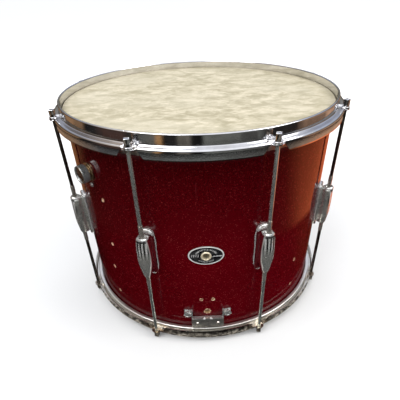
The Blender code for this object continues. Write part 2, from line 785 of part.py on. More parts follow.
def make_butt_fasteners():
    clamp_front = BUTT_BAR_FRONT + GAP + CLAMP_THICKNESS + GAP
    screw_profile = [
        (0.0, clamp_front + 2.0 * MM),
        (1.6 * MM, clamp_front + 1.7 * MM),
        (2.8 * MM, clamp_front + 0.6 * MM),
        (2.8 * MM, clamp_front),
        (1.6 * MM, clamp_front),
        (1.6 * MM, 194.5 * MM),
        (0.0, 194.5 * MM),
    ]
    foot_front = WRAP_RADIUS + 2.0 * MM + GAP
    bolt_profile = [
        (0.0, foot_front + 4.0 * MM),
        (4.2 * MM, foot_front + 4.0 * MM),
        (5.2 * MM, foot_front + 3.2 * MM),
        (5.2 * MM, foot_front),
        (2.2 * MM, foot_front),
        (2.2 * MM, 179.0 * MM),
        (0.0, 179.0 * MM),
    ]
    middle = (BUTT_LOW + BUTT_HIGH) / 2
    for side, word in ((-1, "left"), (1, "right")):
        screw = turned_mesh(
            f"clamp_screw_{word}", screw_profile, 8, ring=False, slot="chrome"
        )
        facing_out(screw, 0.0, middle)
        screw.location.x = side * CLAMP_SCREW_OFFSET
        bolt = turned_mesh(f"butt_bolt_{word}", bolt_profile, 6, ring=False, slot="chrome")
        facing_out(bolt, side * BUTT_BOLT_BEARING, BUTT_BOLT_HEIGHT)


clear_scene()
parts = bpy.data.collections.new("tom_tom_drum")
tools_home = bpy.data.collections.new("cutting_and_joining_tools")
for collection in (parts, tools_home):
    bpy.context.scene.collection.children.link(collection)
materials = {slot: make_material(slot) for slot in COLOURS}

make_shell()
make_wrap()
make_ends()
make_hoops()
make_lugs()
make_rods_and_nuts()
make_badge()
make_grommet()
make_tone_collar()
make_tone_knob()
make_muffler()
make_butt_bracket()
make_clamp_plate()
make_butt_fasteners()
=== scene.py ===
"""Looks of a fifteen inch field drum used as a tom, built over its CAD frame in metres.

Bearings are degrees about the drum's axis from -Y towards +X. A "depth" is measured from
a hoop's outer edge towards the drum's middle, and a "height" is measured up from the floor.
"""
import random
from math import asin, atan2, copysign, cos, degrees, dist, exp, hypot, pi, radians, sin, sqrt, tan

import bmesh
import bpy
from mathutils import Matrix, Vector


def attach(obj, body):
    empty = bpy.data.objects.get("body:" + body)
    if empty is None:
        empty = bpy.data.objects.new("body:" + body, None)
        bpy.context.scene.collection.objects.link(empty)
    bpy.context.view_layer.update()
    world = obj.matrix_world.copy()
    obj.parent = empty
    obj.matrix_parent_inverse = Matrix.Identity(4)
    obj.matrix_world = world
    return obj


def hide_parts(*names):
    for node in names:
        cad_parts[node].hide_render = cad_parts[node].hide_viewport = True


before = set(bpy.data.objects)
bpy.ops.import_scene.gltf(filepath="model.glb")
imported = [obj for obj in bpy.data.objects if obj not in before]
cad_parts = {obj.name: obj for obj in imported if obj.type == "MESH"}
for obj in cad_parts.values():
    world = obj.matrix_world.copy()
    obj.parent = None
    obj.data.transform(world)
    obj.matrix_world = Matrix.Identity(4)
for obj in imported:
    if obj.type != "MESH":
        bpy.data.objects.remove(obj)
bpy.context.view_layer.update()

MM = 0.001
HEIGHT = 318.6
MIDDLE = HEIGHT / 2
STATIONS = [45 * (index + 0.5) for index in range(8)]
FRONT_LUGS, SIDE_RODS = (1, 8), (2, 7)
ROD_CIRCLE = 203.7
WRAP_RADIUS = 190.5
EAR_DEPTH = 14.9
SEAT = HEIGHT - EAR_DEPTH + 0.3
ROD_END, NUT_LOW, NUT_TOP = 176.8, 173.6, 207.3
TONE_BEARING = -49.0
TONE_HEIGHT = 250.0
BOLT_BEARING = 8.6
BOLT_HEIGHT = 53.0
PLATE_LOW, PLATE_HIGH, PLATE_HALF = 29.5, 46.8, 23.3
random.seed(11)


# ---- mesh helpers (millimetres)
def make_mesh(name, verts, faces):
    mesh = bpy.data.meshes.new(name)
    mesh.from_pydata([(x * MM, y * MM, z * MM) for x, y, z in verts], [], faces)
    shape = bmesh.new()
    shape.from_mesh(mesh)
    bmesh.ops.remove_doubles(shape, verts=shape.verts, dist=0.000002)
    bmesh.ops.recalc_face_normals(shape, faces=shape.faces)
    shape.to_mesh(mesh)
    shape.free()
    return mesh


def smooth(mesh, angle=32):
    mesh.shade_smooth()
    mesh.set_sharp_from_angle(angle=radians(angle))
    return mesh


def add_object(name, data):
    item = bpy.data.objects.new(name, data)
    bpy.context.scene.collection.objects.link(item)
    return item


def evaluate(item, angle=32):
    """The item's mesh with its modifiers applied; the item itself is removed."""
    bpy.context.view_layer.update()
    mesh = bpy.data.meshes.new_from_object(
        item.evaluated_get(bpy.context.evaluated_depsgraph_get())
    )
    bpy.data.objects.remove(item)
    return smooth(mesh, angle)


def add_bevel(item, width, segments, angle):
    modifier = item.modifiers.new("bevel", "BEVEL")
    modifier.width = width * MM
    modifier.segments = segments
    modifier.limit_method = "ANGLE"
    modifier.angle_limit = radians(angle)


def boolean(mesh, tool_mesh, operation, angle=32):
    item = add_object(mesh.name, mesh)
    tool = add_object(tool_mesh.name, tool_mesh)
    modifier = item.modifiers.new("cut", "BOOLEAN")
    modifier.object = tool
    modifier.operation = operation
    modifier.solver = "EXACT"
    result = evaluate(item, angle)
    bpy.data.objects.remove(tool)
    return result


def joined(name, meshes):
    shape = bmesh.new()
    for mesh in meshes:
        shape.from_mesh(mesh)
    mesh = bpy.data.meshes.new(name)
    shape.to_mesh(mesh)
    shape.free()
    return mesh


def rounded(points, closed=True, steps=4):
    """Rounds the corners of a polyline of (a, b, radius) points."""
    out = []
    count = len(points)
    for index, (a, b, radius) in enumerate(points):
        here = Vector((a, b))
        if radius <= 0 or (not closed and index in (0, count - 1)):
            out.append((a, b))
            continue
        before = Vector(points[index - 1][:2]) - here
        after = Vector(points[(index + 1) % count][:2]) - here
        half = before.angle(after) / 2
        run = min(radius / tan(half), before.length * 0.49, after.length * 0.49)
        start = here + before.normalized() * run
        end = here + after.normalized() * run
        for step in range(steps + 1):
            t = step / steps
            point = start * (1 - t) ** 2 + here * 2 * t * (1 - t) + end * t ** 2
            out.append((point.x, point.y))
    return out


def circle(radius, steps):
    angles = [2 * pi * step / steps for step in range(steps)]
    return [(radius * cos(angle), radius * sin(angle)) for angle in angles]


def bands(rows, steps, closed=False):
    """Quads between one ring of steps points and the next."""
    faces = []
    for row in range(rows if closed else rows - 1):
        low, high = row * steps, (row + 1) % rows * steps
        for step in range(steps):
            after = (step + 1) % steps
            faces.append([low + step, low + after, high + after, high + step])
    return faces


def lathe(name, profile, steps, ring=True, wave=None):
    """Turns (radius, height) points about Z. wave(angle, radius, height) may alter a radius."""
    verts, faces, rows = [], [], []
    for radius, height in profile:
        if radius < 1e-6:
            rows.append([len(verts)] * steps)
            verts.append((0, 0, height))
            continue
        row = []
        for step in range(steps):
            angle = 2 * pi * step / steps
            r = wave(angle, radius, height) if wave else radius
            row.append(len(verts))
            verts.append((r * cos(angle), r * sin(angle), height))
        rows.append(row)
    pairs = list(zip(rows, rows[1:]))
    if ring:
        pairs.append((rows[-1], rows[0]))
    for upper, lower in pairs:
        for step in range(steps):
            after = (step + 1) % steps
            unique = list(dict.fromkeys([upper[step], upper[after], lower[after], lower[step]]))
            if len(unique) > 2:
                faces.append(unique)
    return make_mesh(name, verts, faces)


def prism(name, outline, low, high, bevel=0.0, segments=2):
    """A flat outline in X and Y given thickness along Z, its rims bevelled."""
    count = len(outline)
    verts = [(x, y, low) for x, y in outline] + [(x, y, high) for x, y in outline]
    faces = [list(range(count - 1, -1, -1)), list(range(count, 2 * count))]
    mesh = make_mesh(name, verts, faces + bands(2, count))
    if not bevel:
        return mesh
    item = add_object(name, mesh)
    add_bevel(item, bevel, segments, 50)
    return evaluate(item)


def block(name, low, high, bevel=0.0, segments=2):
    outline = [(low[0], low[1]), (high[0], low[1]), (high[0], high[1]), (low[0], high[1])]
    return prism(name, outline, low[2], high[2], bevel, segments)


def cylinder(name, radius, low, high, steps=32):
    return prism(name, circle(radius, steps), low, high)


def drilled(mesh, holes, steps=24, angle=40):
    """The mesh with (radius, low, high, place) holes cut through it."""
    tools = []
    for radius, low, high, place in holes:
        tool = cylinder("hole", radius, low, high, steps)
        tool.transform(place)
        tools.append(tool)
    return boolean(mesh, joined("holes", tools), "DIFFERENCE", angle)


def turned_to(bearing):
    return Matrix.Rotation(radians(bearing), 4, "Z")


def shift(x, y, z):
    return Matrix.Translation((x * MM, y * MM, z * MM))


UPRIGHT = Matrix.Rotation(pi / 2, 4, "X")
FLIP = shift(0, 0, HEIGHT) @ Matrix.Rotation(pi, 4, "X")


def facing(bearing, height):
    """Takes a shape made along +Z to one that points out of the shell."""
    return shift(0, 0, height) @ turned_to(bearing) @ UPRIGHT


def piece(name, mesh, material, slot, replaces=(), matrix=None, body="drum"):
    item = add_object(name, mesh)
    if not mesh.materials:
        mesh.materials.append(material)
    if matrix is not None:
        item.matrix_world = matrix
    bpy.context.view_layer.update()
    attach(item, body)
    if replaces:
        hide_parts(*replaces)


# ---- materials
def node_sum(operation, swapped=False):
    def join(wire, other=0.0):
        pair = (other, wire) if swapped else (wire, other)
        return wire.nodes.math(operation, *pair)
    return join


class Wire:
    """A node's output, which can be used in sums."""

    def __init__(self, nodes, socket):
        self.nodes, self.socket = nodes, socket

    __add__, __radd__ = node_sum("ADD"), node_sum("ADD", True)
    __sub__, __rsub__ = node_sum("SUBTRACT"), node_sum("SUBTRACT", True)
    __mul__, __truediv__, __pow__ = node_sum("MULTIPLY"), node_sum("DIVIDE"), node_sum("POWER")
    __lt__, __gt__, __abs__ = node_sum("LESS_THAN"), node_sum("GREATER_THAN"), node_sum("ABSOLUTE")

    def __neg__(self):
        return self * -1.0


class Nodes:
    """A short way to write a node tree."""

    def __init__(self, tree):
        self.tree = tree

    def link(self, value, socket):
        """Joins a wire to a socket, or sets the socket to a number, a vector or a colour."""
        if isinstance(value, Wire):
            self.tree.links.new(value.socket, socket)
        elif isinstance(value, tuple):
            socket.default_value = (*value, 1.0)[:len(socket.default_value)]
        else:
            socket.default_value = value

    def add(self, kind, inputs, output=0, **values):
        """Adds a node with these inputs, and returns one of its outputs."""
        node = self.tree.nodes.new(kind)
        for key, value in values.items():
            setattr(node, key, value)
        for key, value in inputs.items():
            self.link(value, node.inputs[key])
        return Wire(self, node.outputs[output])

    def ramp(self, source, stops):
        """stops are (position, red, green, blue), or (position, brightness)."""
        wire = self.add("ShaderNodeValToRGB", {0: source})
        elements = wire.socket.node.color_ramp.elements
        while len(elements) < len(stops):
            elements.new(0.5)
        for element, (at, *colour) in zip(elements, stops):
            element.position = at
            element.color = (*(colour if len(colour) == 3 else colour * 3), 1.0)
        return wire

    def fade(self, source, low, high, first=0.0, last=1.0):
        return self.ramp(source, [(low, first), (high, last)])

    def mix(self, factor, one, two, mode="MIX"):
        one, two = [(value,) * 3 if isinstance(value, float) else value for value in (one, two)]
        inputs = {0: factor, 6: one, 7: two}
        return self.add("ShaderNodeMix", inputs, 2, data_type="RGBA", blend_type=mode)

    def math(self, operation, one, two=0.0, clamp=False):
        return self.add("ShaderNodeMath", {0: one, 1: two}, operation=operation, use_clamp=clamp)

    def split(self, vector):
        node = self.add("ShaderNodeSeparateXYZ", {0: vector}).socket.node
        return [Wire(self, output) for output in node.outputs]


class Material(Nodes):
    def __init__(self, name):
        self.material = bpy.data.materials.new(name)
        self.material.use_nodes = True
        super().__init__(self.material.node_tree)
        self.shader = self.tree.nodes["Principled BSDF"]
        self.place = self.add("ShaderNodeTexCoord", {}, "Object")
        each = self.add("ShaderNodeObjectInfo", {}, "Random")
        self.spread = self.add("ShaderNodeVectorMath", {0: self.place, 1: each}, operation="ADD")

    def set(self, **values):
        for key, value in values.items():
            self.shader.inputs[key.replace("_", " ")].default_value = value

    def to(self, socket, source):
        self.link(source, self.shader.inputs[socket])

    def made(self, colour, rough, normal):
        for socket, source in ("Base Color", colour), ("Roughness", rough), ("Normal", normal):
            self.to(socket, source)
        return self.material

    def noise(self, scale, detail=3.0, rough=0.55, vector=None, distortion=0.0):
        return self.add("ShaderNodeTexNoise", {
            "Vector": vector or self.spread, "Scale": scale, "Detail": detail, "Roughness": rough,
            "Distortion": distortion,
        }, "Fac")

    def stretched(self, scale, detail, rough, distortion=0.0, vector=None):
        """Noise with its own scale along each axis."""
        inputs = {0: vector or self.place, 1: scale}
        place = self.add("ShaderNodeVectorMath", inputs, operation="MULTIPLY")
        return self.noise(1.0, detail, rough, place, distortion)

    def voronoi(self, scale, output="Distance", vector=None):
        inputs = {"Scale": scale, "Vector": vector or self.spread}
        return self.add("ShaderNodeTexVoronoi", inputs, output)

    def bump(self, height, strength, distance, onto=None):
        inputs = {"Strength": strength, "Distance": distance, "Height": height}
        if onto:
            inputs["Normal"] = onto
        return self.add("ShaderNodeBump", inputs, "Normal")

    def reach(self):
        """Distance from the axis, in metres."""
        x, y = self.split(self.place)[:2]
        return self.math("SQRT", x ** 2.0 + y ** 2.0)

    def turn(self):
        """The bearing in radians."""
        x, y = self.split(self.place)[:2]
        return self.math("ARCTAN2", x, -y)


def plated(name, colour, tint, rough=(0.05, 0.16), pits=0.5, metal=1.0, ear_shade_colour=None):
    """Old bright plating: cloudy haze, fine pits, and dull spots that gather in patches."""
    dirt = (0.16, 0.12, 0.08)
    n = Material(name)
    n.set(Metallic=metal, IOR=1.8)
    haze = n.noise(38.0, 5.0, 0.6)
    fine = n.noise(900.0, 2.0, 0.5)
    patch = n.fade(n.noise(22.0, 4.0, 0.65), 0.46, 0.68)
    spots = n.fade(n.voronoi(1300.0), 0.1, 0.28, 1.0, 0.0)
    pitted = spots * (patch * pits)
    base = n.mix(n.fade(haze, 0.35, 0.7), colour, tint)
    # painted shade: the outer parts of the ears are darkened towards the given colour
    if ear_shade_colour:
        near = n.math("COSINE", (n.turn() - radians(STATIONS[0])) * 8.0)
        outer = n.fade((n.reach() - 0.1965) * 300.0, 0.0, 1.0)
        painted_ear_shade = outer * n.fade(near, 0.55, 0.85)
        base = n.mix(painted_ear_shade * n.fade(haze, 0.3, 0.7, 0.95, 0.6), base, ear_shade_colour)
    n.to("Base Color", n.mix(pitted, base, dirt))
    rough_haze = n.fade(haze, 0.3, 0.75, rough[0], rough[1])
    n.to("Roughness", n.mix(pitted, rough_haze, 0.55))
    ripple = n.bump(n.noise(9.0, 2.0, 0.5), 0.1, 0.004)
    grain = n.bump(fine, 0.035, 0.0006, ripple)
    n.to("Normal", n.bump(1.0 - pitted, 0.25, 0.0002, grain))
    return n.material


# where the lug's dull middle ends: sideways, above and below, in metres from its middle
LUG_RIM_SIDE, LUG_RIM_TOP, LUG_RIM_LOW = 0.0103, 0.0284, -0.0325
FLUTE_SPACING = 0.0045


def lug_material(name, paints_shell_reflection):
    """Die-cast plating, dull and cloudy, with bright rims, painted shade in the flutes and under
    the cap, and painted highlights on the flute ridges.

    One that paints the shell's reflection gets the sides of its middle painted dark red, a painted
    reflection of the shell beside them.
    """
    n = Material(name)
    n.set(IOR=1.8)
    x, y, z = n.split(n.place)
    face = (abs(x) < LUG_RIM_SIDE) * ((z < LUG_RIM_TOP) * (z > LUG_RIM_LOW))
    haze = n.noise(45.0, 5.0, 0.6)
    pits = n.fade(n.voronoi(1500.0), 0.1, 0.3, 1.0, 0.0)
    pitted = pits * n.fade(haze, 0.35, 0.7, 0.25, 1.0)
    front = n.fade((-y - 0.205) * 400.0, 0.0, 1.0)
    bright = n.mix(haze, (0.8, 0.8, 0.79), (0.66, 0.67, 0.65))
    if paints_shell_reflection:
        # painted reflection: the sides of the middle take the dark red of the shell beside them
        painted_shell_reflection = face * (1.0 - front)
        bright = n.mix(painted_shell_reflection, bright, (0.075, 0.004, 0.007))
        face = face * front
    dull = n.mix(haze, (0.5, 0.5, 0.46), (0.62, 0.62, 0.58))
    base = n.mix(face, bright, dull)
    # painted shade darkens the flute grooves and the band under the cap on the outward face; the
    # flute ridges are painted pale as highlights
    streak = front * n.fade(z * 30.0 + haze * 0.3, 0.12, 0.5) * face
    wave = n.math("COSINE", x * (2 * pi / FLUTE_SPACING))
    groove = streak * n.fade(wave, 0.2, 0.6)
    ridge_highlight = streak * n.fade(-wave, 0.2, 0.7)
    shadow = n.fade(abs(z - 0.027) * 100.0, 0.11, 0.19, 1.0, 0.0) * front
    painted_crease_shade = n.math("MAXIMUM", groove * 0.95, shadow * 0.95)
    base = n.mix(pitted * (1.0 - streak) * 0.45, base, (0.16, 0.15, 0.13))
    base = n.mix(ridge_highlight, base, (0.95, 0.95, 0.93))
    n.to("Base Color", n.mix(painted_crease_shade, base, (0.01, 0.008, 0.008)))
    metal = n.fade(face - ridge_highlight, 0.0, 1.0, 0.75, 0.84)
    n.to("Metallic", n.mix(painted_shell_reflection, metal, 0.25) if paints_shell_reflection else metal)
    shiny, worn = n.fade(haze, 0.3, 0.75, 0.05, 0.14), n.fade(haze, 0.3, 0.75, 0.18, 0.34)
    n.to("Roughness", n.mix(face - streak * 0.6, shiny, worn))
    grain = n.bump(n.noise(800.0, 2.0, 0.5), 0.05, 0.0006)
    n.to("Normal", n.bump(1.0 - pitted, 0.2, 0.0002, grain))
    return n.material


def sparkle_material():
    """Glossy burgundy plastic with fine metal flakes sunk in it."""
    n = Material("burgundy_sparkle")
    x, y, z = n.split(n.place)
    cell = n.split(n.voronoi(2300.0, "Color", n.place))[0]
    bigger = n.split(n.voronoi(1250.0, "Color", n.place))[1]
    cloud = n.noise(9.0, 4.0, 0.6, n.place)
    deep = n.mix(n.fade(cloud, 0.3, 0.72), (0.038, 0.0002, 0.0013), (0.062, 0.0003, 0.0022))
    flake = n.fade(cell, 0.55, 0.97)
    flecked = n.mix(flake * 0.5, deep, (0.125, 0.001, 0.005))
    rare = n.fade(bigger, 0.95, 0.975)
    flecked = n.mix(rare * 0.6, flecked, (0.42, 0.06, 0.05))
    # a scuffed outline where a longer fitting once sat over the butt plate
    side = abs(x) - 0.0165
    rise = abs(z - 0.06) - 0.0105
    over = n.math("MAXIMUM", side, 0.0) ** 2.0
    up = n.math("MAXIMUM", rise, 0.0) ** 2.0
    outside = n.math("SQRT", over + up)
    inside = n.math("MINIMUM", n.math("MAXIMUM", side, rise), 0.0)
    distance = outside + inside - 0.0035
    line = n.math("SUBTRACT", 1.0, abs(distance) / 0.00045, clamp=True)
    broken = n.fade(n.noise(260.0, 3.0, 0.6, n.place), 0.45, 0.58)
    front = y < 0.0
    scuff = line * broken * front
    # fine scratches that run round the shell and down it
    down = n.fade(n.stretched((900.0, 900.0, 22.0), 2.0, 0.5), 0.7, 0.74)
    around = n.fade(n.stretched((30.0, 30.0, 1500.0), 2.0, 0.5), 0.72, 0.76)
    worn = n.fade(n.noise(14.0, 3.0, 0.6, n.place), 0.5, 0.7)
    scratch = n.math("MAXIMUM", down, around) * worn
    marks = n.math("MAXIMUM", scratch * 0.35, scuff)
    # painted shade: the wrap darkens towards the top, under the hoop, and towards the left
    height = z * 3.0
    wrap_painted_shade = height + (cloud - 0.5) * 0.25
    wrap_painted_shade = n.fade(wrap_painted_shade, 0.45, 0.85, 1.0, 0.52) * n.fade(x * 3.0 + 0.6, 0.1, 0.45, 0.62, 1.0)
    flecked = n.mix(1.0, flecked, wrap_painted_shade, "MULTIPLY")
    n.to("Base Color", n.mix(marks * 0.5, flecked, (0.3, 0.07, 0.07)))
    n.to("Roughness", n.mix(marks, n.fade(cell, 0.0, 1.0, 0.34, 0.2), 0.6))
    n.to("Metallic", rare * 0.6)
    n.set(IOR=1.5, Specular_IOR_Level=0.0, Coat_IOR=1.5, Coat_Roughness=0.03)
    n.to("Coat Weight", n.fade(height, 0.13, 0.26, 0.15, 0.85))
    n.to("Normal", n.bump(cell + bigger, 0.3, 0.0004))
    waves = n.bump(n.noise(16.0, 2.0, 0.5, n.place), 0.05, 0.003)
    n.to("Coat Normal", n.bump(1.0 - marks, 0.15, 0.0001, waves))
    return n.material


def film_material():
    """Cream film made to look like skin: long blotches, short fibres, and a worn rim."""
    n = Material("mottled_film")
    cloud = n.stretched((42.0, 66.0, 50.0), 7.0, 0.72, 0.5)
    broad = n.stretched((5.0, 9.0, 7.0), 4.0, 0.6, 0.4)
    wisps = n.stretched((70.0, 210.0, 60.0), 4.0, 0.6, 1.4)
    pale, drab = (0.52, 0.47, 0.36), (0.31, 0.278, 0.188)
    cream = n.mix(n.fade(cloud, 0.4, 0.6, 1.0, 0.0), pale, drab)
    cream = n.mix(n.fade(wisps, 0.4, 0.55, 1.0, 0.0) * 0.5, cream, drab)
    cream = n.mix(n.fade(broad, 0.5, 0.66) * 0.45, cream, (0.51, 0.47, 0.375))
    specks = n.fade(n.noise(420.0, 2.0, 0.5, n.place), 0.66, 0.74)
    cream = n.mix(specks * 0.25, cream, (0.25, 0.21, 0.14))
    rim = n.fade(n.reach(), 0.16, 0.187) * cloud
    n.to("Base Color", n.mix(rim * 0.4, cream, (0.3, 0.25, 0.16)))
    n.to("Roughness", n.fade(cloud, 0.3, 0.7, 0.5, 0.66))
    n.set(IOR=1.45, Specular_IOR_Level=0.3)
    rough = n.bump(n.noise(520.0, 3.0, 0.6, n.place), 0.12, 0.0005)
    n.to("Normal", n.bump(wisps, 0.08, 0.0006, rough))
    return n.material


def wood_material():
    n = Material("shell_ply")
    grain = n.stretched((28.0, 28.0, 300.0), 5.0, 0.6, 0.5)
    rings = n.noise(6.0, 3.0, 0.5, n.place)
    colour = n.mix(n.fade(grain, 0.35, 0.7), (0.36, 0.21, 0.1), (0.6, 0.4, 0.22))
    return n.made(
        n.mix(rings * 0.3, colour, (0.42, 0.26, 0.13)),
        n.fade(grain, 0.3, 0.7, 0.5, 0.72),
        n.bump(grain, 0.3, 0.0005),
    )


def felt_material():
    n = Material("pressed_felt")
    fibres = n.noise(900.0, 6.0, 0.75, n.place, 1.5)
    lumps = n.noise(90.0, 3.0, 0.6, n.place)
    n.set(Sheen_Weight=0.4)
    return n.made(
        n.mix(fibres, (0.52, 0.49, 0.44), (0.78, 0.75, 0.7)),
        n.fade(lumps, 0.3, 0.7, 0.85, 1.0),
        n.bump(fibres, 0.6, 0.0006),
    )


def enamel_material(name, dark, light):
    n = Material(name)
    cloud = n.noise(160.0, 4.0, 0.6)
    n.set(IOR=1.5, Coat_Weight=0.4, Coat_Roughness=0.1)
    return n.made(
        n.mix(n.fade(cloud, 0.45, 0.75), dark, light),
        n.fade(cloud, 0.3, 0.7, 0.18, 0.38),
        n.bump(n.noise(1200.0), 0.1, 0.0003),
    )


def scuffed_steel():
    """Dull plated strip, brushed along its length and rubbed through in places."""
    n = Material("scuffed_steel")
    brush = n.stretched((90.0, 900.0, 1500.0), 3.0, 0.6, 0.0, n.spread)
    worn = n.fade(n.noise(120.0, 5.0, 0.7), 0.42, 0.62)
    base = n.mix(brush, (0.16, 0.155, 0.15), (0.3, 0.29, 0.27))
    n.set(Metallic=0.9)
    return n.made(
        n.mix(worn * 0.6, base, (0.46, 0.44, 0.4)),
        n.fade(worn, 0.0, 1.0, 0.52, 0.34),
        n.bump(brush, 0.25, 0.0003),
    )


CHROME = plated("hoop_chrome", (0.82, 0.82, 0.84), (0.68, 0.68, 0.69), (0.04, 0.11), 0.45)
# a warmer copy of the hoop chrome for the lower hoop, with painted shade on the outer parts of its
# ears
LOW_CHROME = plated(
    "lower_hoop_chrome", (0.92, 0.89, 0.82), (0.76, 0.73, 0.66), (0.03, 0.09), 0.6,
    ear_shade_colour=(0.22, 0.15, 0.09),
)
# darker copies of the rod plating, as painted shade: one for the heads of the lower rods, one for
# the rods at the sides
LOW_ROD_CHROME = plated(
    "lower_rod_chrome", (0.34, 0.32, 0.28), (0.22, 0.2, 0.17), (0.08, 0.2), 0.5, 0.97,
)
SHADED_ROD_CHROME = plated(
    "dull_rod_chrome", (0.2, 0.18, 0.16), (0.12, 0.11, 0.09), (0.1, 0.22), 0.5, 0.97,
)
ROD_CHROME = plated("rod_chrome", (0.7, 0.74, 0.7), (0.54, 0.58, 0.54), (0.08, 0.18), 0.35, 0.9)
LUG_CHROME = lug_material("lug_chrome", False)
SHELL_REFLECTION_LUG = lug_material("polished_lug_chrome", True)
NICKEL = plated("warm_nickel", (0.62, 0.59, 0.54), (0.46, 0.43, 0.38), (0.1, 0.24), 0.4, 0.85)
FLESH = plated("flesh_hoop_metal", (0.94, 0.93, 0.9), (0.8, 0.78, 0.72), (0.28, 0.45), 0.35)
FITTING = plated("fitting_chrome", (0.84, 0.84, 0.83), (0.66, 0.65, 0.62), (0.1, 0.24), 0.5, 0.85)
KNOB_CHROME = plated("knob_chrome", (0.46, 0.48, 0.47), (0.26, 0.27, 0.27), (0.16, 0.34), 0.9, 0.85)
BRIGHT = plated("bright_trim", (0.92, 0.91, 0.9), (0.78, 0.77, 0.74), (0.15, 0.3), 0.3, 0.5)
GOLD = plated("worn_gold", (0.62, 0.46, 0.28), (0.4, 0.29, 0.17), (0.15, 0.3), 0.4, 0.95)
BRASS = plated("dull_brass", (0.92, 0.84, 0.64), (0.74, 0.62, 0.42), (0.16, 0.32), 0.4, 0.6)
SPARKLE = sparkle_material()
FILM = film_material()
WOOD = wood_material()
FELT = felt_material()
ENAMEL = enamel_material("black_enamel", (0.006, 0.006, 0.007), (0.03, 0.03, 0.03))
KNOB_FACE = enamel_material("brown_enamel", (0.02, 0.01, 0.006), (0.06, 0.034, 0.022))
STEEL = scuffed_steel()


def dress_node(name, material):
    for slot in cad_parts[name].material_slots:
        slot.material = material


# ---- hoops
def smoothstep(low, high, value):
    t = min(max((value - low) / (high - low), 0.0), 1.0)
    return t * t * (3 - 2 * t)


def between(one, two, t):
    return (one[0] + (two[0] - one[0]) * t, one[1] + (two[1] - one[1]) * t)


def length_of(points):
    return sum(dist(one, two) for one, two in zip(points, points[1:]))


def walk(points, distance):
    """The point at a distance along a polyline."""
    for one, two in zip(points, points[1:]):
        step = dist(one, two)
        if distance <= step or two is points[-1]:
            return between(one, two, distance / step)
        distance -= step


def spaced(points, count):
    """count + 1 points evenly spaced along a polyline."""
    return [walk(points, length_of(points) * index / count) for index in range(count + 1)]


# radii of the hoop's lip, wall and skirt, and of the bend where its shoulder turns down
LIP, WALL, SKIRT, FLARE = 191.8, 194.9, 203.5, 198.5
LEAD = [(LIP, 13.0, 0), (LIP, 0.0, 1.3), (WALL, 0.0, 1.4)]
LEAD_ROWS, TAIL_ROWS = 40, 14
SKIRT_LEAD = spaced(rounded(LEAD + [(WALL, 13.1, 1.5), (FLARE, 13.3, 0)], False, 6), LEAD_ROWS)
EAR_LEAD = spaced(
    rounded(LEAD + [(WALL, EAR_DEPTH, 1.5), (FLARE, EAR_DEPTH, 0)], False, 6), LEAD_ROWS
)
SKIRT_TAIL = rounded([(FLARE, 13.3, 0), (SKIRT, 13.5, 5.2), (SKIRT, 25.9, 0)], False, 8)
SKIRT_LENGTH = length_of(SKIRT_TAIL)
HOOP_SHEET = 1.2
ROD_HOLE_RADIUS = 3.15
EAR_HALF, EAR_REACH = 7.6, 5.4
# columns are close together out to EAR_SPAN from an ear's middle, and plain skirt past it
EAR_SPAN, EAR_COLUMNS, SKIRT_COLUMNS, PLAIN_SKIRT = 18.0, 48, 30, 22.0


def hoop_column(offset):
    """(radius, depth) points of the pressed sheet at a sideways offset from an ear's middle."""
    offset = abs(offset)
    bend = smoothstep(6.0, 9.2, offset)
    side = ROD_CIRCLE - FLARE
    if offset < EAR_HALF:
        length = side + EAR_REACH * sqrt(1 - (offset / EAR_HALF) ** 2)
    else:
        length = side + (SKIRT_LENGTH - side) * smoothstep(EAR_HALF, 17.0, offset)
    points = [between(one, two, bend) for one, two in zip(EAR_LEAD, SKIRT_LEAD)]
    for row in range(1, TAIL_ROWS + 1):
        along = length * row / TAIL_ROWS
        down = walk(SKIRT_TAIL, min(along, SKIRT_LENGTH * 0.99999))
        points.append(between((FLARE + along, EAR_DEPTH), down, bend))
    return points


def hoop_mesh():
    angles = []
    reach = degrees(EAR_SPAN / ROD_CIRCLE)
    spare = 45.0 - 2 * reach
    for bearing in STATIONS:
        for index in range(EAR_COLUMNS + 1):
            offset = EAR_SPAN * (2 * index / EAR_COLUMNS - 1)
            angles.append((bearing + degrees(offset / ROD_CIRCLE), offset))
        for index in range(1, SKIRT_COLUMNS):
            angles.append((bearing + reach + spare * index / SKIRT_COLUMNS, PLAIN_SKIRT))
    verts, faces = [], []
    rows = LEAD_ROWS + TAIL_ROWS + 1
    for bearing, offset in angles:
        turn = radians(bearing)
        for radius, depth in hoop_column(offset):
            verts.append((radius * sin(turn), -radius * cos(turn), HEIGHT - depth))
    count = len(angles)
    for column in range(count):
        here, after = column * rows, ((column + 1) % count) * rows
        for row in range(rows - 1):
            faces.append([here + row, here + row + 1, after + row + 1, after + row])
    item = add_object("hoop", make_mesh("hoop", verts, faces))
    solid = item.modifiers.new("sheet", "SOLIDIFY")
    solid.thickness = HOOP_SHEET * MM
    solid.offset = -1.0
    solid.use_even_offset = True
    add_bevel(item, 0.35, 2, 60)
    return drilled(evaluate(item, 40), [
        (ROD_HOLE_RADIUS, HEIGHT - 20, HEIGHT - 10, turned_to(bearing) @ shift(0, -ROD_CIRCLE, 0))
        for bearing in STATIONS
    ])


HOOP = hoop_mesh()
HOOP_LOW = HOOP.copy()
piece("top_hoop_pressed", HOOP, CHROME, "hoop_chrome", ["top_hoop"])
piece("bottom_hoop_pressed", HOOP_LOW, LOW_CHROME, "hoop_chrome", ["bottom_hoop"], FLIP)


# ---- shell, films, flesh hoops
BARE_HOLES = [
    (-43.0, 216.0, 2.0), (-43.0, 145.0, 2.0), (-45.3, 100.0, 2.0), (-45.3, 50.0, 2.0),
    (44.6, 100.0, 2.0), (44.6, 50.0, 2.0), (-2.5, 79.0, 2.2), (2.5, 79.0, 2.2), (0.0, 55.0, 4.5),
]


